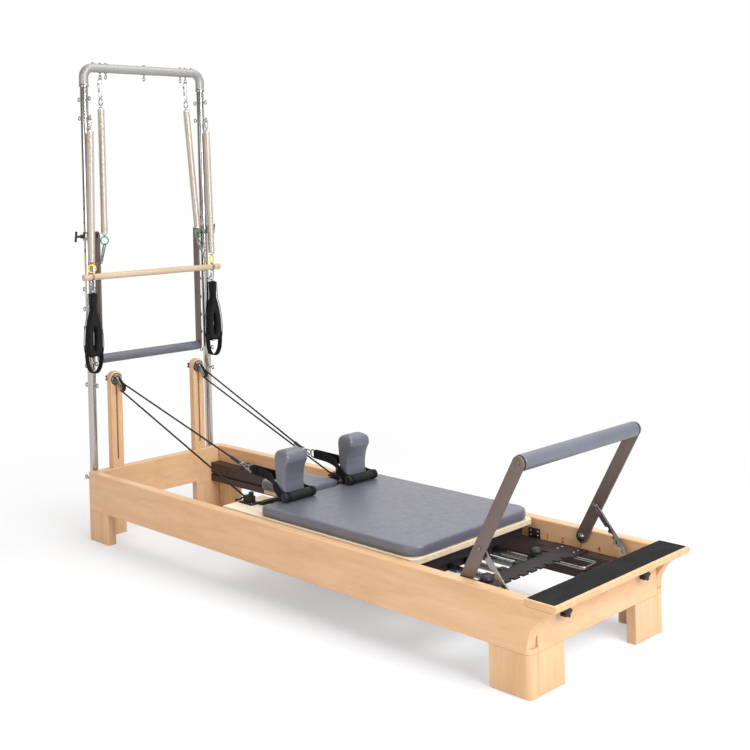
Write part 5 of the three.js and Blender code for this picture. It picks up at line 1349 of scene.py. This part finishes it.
rollBar = {"x": 22, "high": 1100, "half": 345, "radius": 13.7, "side": 304}
barX, barZ = rollBar["x"], rollBar["high"]
length, radius = 2 * rollBar["half"], rollBar["radius"]
dowel = turned([(0, 0), (0, 12), (0.6, 13), (1.8, radius)] + [(length * k / 12, radius) for k in range(1, 12)]
               + [(length - 1.8, radius), (length - 0.6, 13), (length, 12), (length, 0)],
               (barX, -rollBar["half"], barZ), (barX, rollBar["half"], barZ), 40)
finishPiece(dowel, "roll_bar_dowel", "roll_bar", dowelWood, ("roll_down_bar",), 40)
clips = []
for name, side in sides:
    y = side * rollBar["side"]
    clips.append(turned([(0, 13.8), (0, 16.4), (0.8, 17.1), (5.2, 17.1), (6, 16.4), (6, 13.8), (0, 13.8)],
                        (barX, y - 3, barZ), (barX, y + 3, barZ), 36))
    clips.append(hoop((barX, y, 1119.4), (1, 0, 0), 3.6, 1.6, 16, 8))
    clips.append(snapHook((barX, y, 1083), (barX, y, 1040), 15, 2.5, (0, 1, 0)))
    clips.append(drum((barX, y - 13, 1033.6), (barX, y + 13, 1033.6), 2.3, 16, 0.5))
finishPiece(joined(*clips), "roll_bar_clips", "roll_bar", fittingSteel, (), 40)
for name, side in sides:
    y = side * rollBar["side"]
    facing = (0.75, -0.66, 0) if side < 0 else (0.9, 0.44, 0)
    band = hoop((barX, y, 1135.4), facing, 16.6, 2.9, 36, 10)
    tab = drum((barX, y, 1147), (barX, y, 1152), 3.4, 12, 0.6)
    finishPiece(joined(band, tab), name + "_yellow_ring", "roll_bar", yellowRing, (), 40)
print("roll-down bar")

# knobs, swivels and pulleys


def lobed(radius, lobe, points=60):
    outline = []
    for i in range(points):
        a = 2 * math.pi * i / points
        reach = radius - lobe + lobe * math.cos(5 * a)
        outline.append((reach * math.cos(a), reach * math.sin(a)))
    return outline


for name, side in sides:
    y = side * 200
    head = plate([lobed(19, 3)], 21.6, 2.4, (2423.3, y, 221), (0, 1, 0), (0, 0, 1), 3)
    face = turned([(0, 0), (0, 8.6), (1.2, 8), (1.2, 0)], (2434, y, 221), (2436, y, 221), 28)
    neck = turned([(0, 0), (0, 10.5), (2, 10.5), (4, 9), (12.5, 9), (12.5, 0)], (2400.4, y, 221), (2413, y, 221), 28)
    finishPiece(joined(head, face, neck), name + "_platform_knob", name + "_platform_knob",
                blackPlastic,
                (name + "_platform_knob",), 40)
    y = side * 208
    head = plate([lobed(17, 3)], 18.6, 2.2, (-27.3, y, 657), (0, 1, 0), (0, 0, 1), 3)
    neck = turned([(0, 0), (0, 10), (12, 8), (18.4, 9), (18.4, 0)], (-0.4, y, 657), (-7, y, 657), 28)
    finishPiece(joined(head, neck), name + "_riser_knob", name + "_riser_knob", blackPlastic,
                (name + "_riser_knob",), 40)

    washer = turned([(0, 0), (0, 24.6), (0.6, 25.4), (2.2, 25.4), (2.8, 24.6), (2.8, 0)], (30.2, y, 657),
                    (37, y, 657), 44)
    finishPiece(washer, name + "_riser_washer", "bed", blackPlastic, (), 40)
    disc = turned([(0, 0), (0, 21.4), (1, 22.4), (3.6, 22.4), (5, 21), (5, 13), (4.2, 12), (4.2, 0)], (32.6, y, 657),
                  (40, y, 657), 44)
    dome = turned([(0, 0), (0, 10), (4, 10.4), (9, 9.4), (12.4, 6), (12.4, 0)], (35, y, 657), (48, y, 657), 28)
    cheeks = []
    for way in (-1, 1):
        outline = [(36 - headToMiddle, 646), (36 - headToMiddle, 667), (47 - headToMiddle, 669)]
        outline += [(u - headToMiddle, v) for u, v in arc(78, 627, 12, 50, -140, 18)]
        cheeks.append(plate([outline], 2.4, 0.4, (headToMiddle, y + way * 8.4, 0), (1, 0, 0), (0, 0, 1), 1))
    axle = drum((78, y - 11.6, 627), (78, y + 11.6, 627), 3.8, 20, 0.8)
    nut = drum((78, y - 12.6, 627), (78, y - 9.4, 627), 6.4, 6, 0.6)
    head = drum((78, y + 9.4, 627), (78, y + 12.2, 627), 6.6, 24, 0.8)
    finishPiece(joined(disc, dome, axle, nut, head, *cheeks), name + "_pulley_swivel", name + "_swivel",
                fittingSteel,
                (name + "_pulley_swivel",), 35)
    groove = [(0, 4.4), (0, 9), (0.8, 9.4), (0.8, 15.6), (0, 16.4), (0, 18), (0.6, 18.5), (1.4, 18.4), (2.4, 16.4),
              (4, 14.6), (6.5, 14)]
    groove += [(13 - h, r) for h, r in reversed(groove[:-1])] + [(0, 4.4)]
    wheel = turned(groove, (78, y - 6.5, 627), (78, y + 6.5, 627), 44)
    finishPiece(wheel, name + "_pulley", name + "_pulley", blackPlastic, (name + "_pulley",), 35)
print("knobs and pulleys")

# platform, stop plates and the numbers on the rail

deck = {"back": 2388.3, "front": 2500, "half": 341, "low": 268.3, "high": 288.3}
back, front, low, high = deck["back"], deck["front"], deck["low"], deck["high"]
boards = plate([[(back, low), (front - 5.5, low), (front - 1.2, 270), (front, 273.5), (front, 283.2),
                 (front - 1.2, 286.8),
                 (front - 5.5, high), (back, high)]], 2 * deck["half"], 1, (0, 0, 0), (1, 0, 0), (0, 0, 1), 2)
finishPiece(boards, "platform_board", "bed", platformPly, ("standing_platform",), 30)
tapeOutline = []
for u, v, start in ((2486, -331, -90), (2486, 331, 0), (2395, 331, 90), (2395, -331, 180)):
    tapeOutline += [(p - headToMiddle, q) for p, q in arc(u, v, 4, start, start + 90, 5)]
tape = plate([tapeOutline], 2.4, 0.5, (headToMiddle, 0, 288.7), (1, 0, 0), (0, 1, 0), 1)
finishPiece(tape, "platform_tape", "bed", gripTape, (), 30)

for name, side in sides:
    low, high = sorted((side * 297.6, side * 302.4))
    cover = soften(block((1875.6, low, 213.1), (1924.4, high, 246.4)), 0.8)
    finishPiece(cover, name + "_stop_plate", "bed", plateBlack, (), 30)
    screws = []
    for x in (1885, 1915):
        for z in (222.3, 237):
            screws.append(turned([(0, 0), (0, 4.3), (1.2, 4.1), (2.4, 2.8), (2.6, 1.4), (1.4, 1.2), (1.4, 0)],
                                 (x, side * 297.7, z), (x, side * 290, z), 18))
    finishPiece(joined(*screws), name + "_stop_screws", "bed", fittingSteel, (), 40)

markInk = makePlastic("markInk", (0.36, 0.045, 0.03), 0.55, 700)
marks = []
for word, x in (("1", 1956), ("2", 2022), ("3", 2098), ("4", 2175)):
    letters = bpy.data.curves.new("mark" + word, "FONT")
    letters.body = word
    letters.size = 0.026
    letters.align_x = "CENTER"
    letters.extrude = 0.0002
    letters.offset = 0.0003
    mark = newObject("mark" + word, letters)
    bpy.ops.object.convert(target="MESH")
    mark = bpy.context.active_object
    mark.matrix_world = Matrix.Translation(place(x, 301.8, 218)) @ Matrix.Rotation(math.pi / 2, 4, "X")
    marks.append(settle(mark))
finishPiece(joined(*marks), "rail_numbers", "bed", markInk, (), 30)
print("platform and small marks")
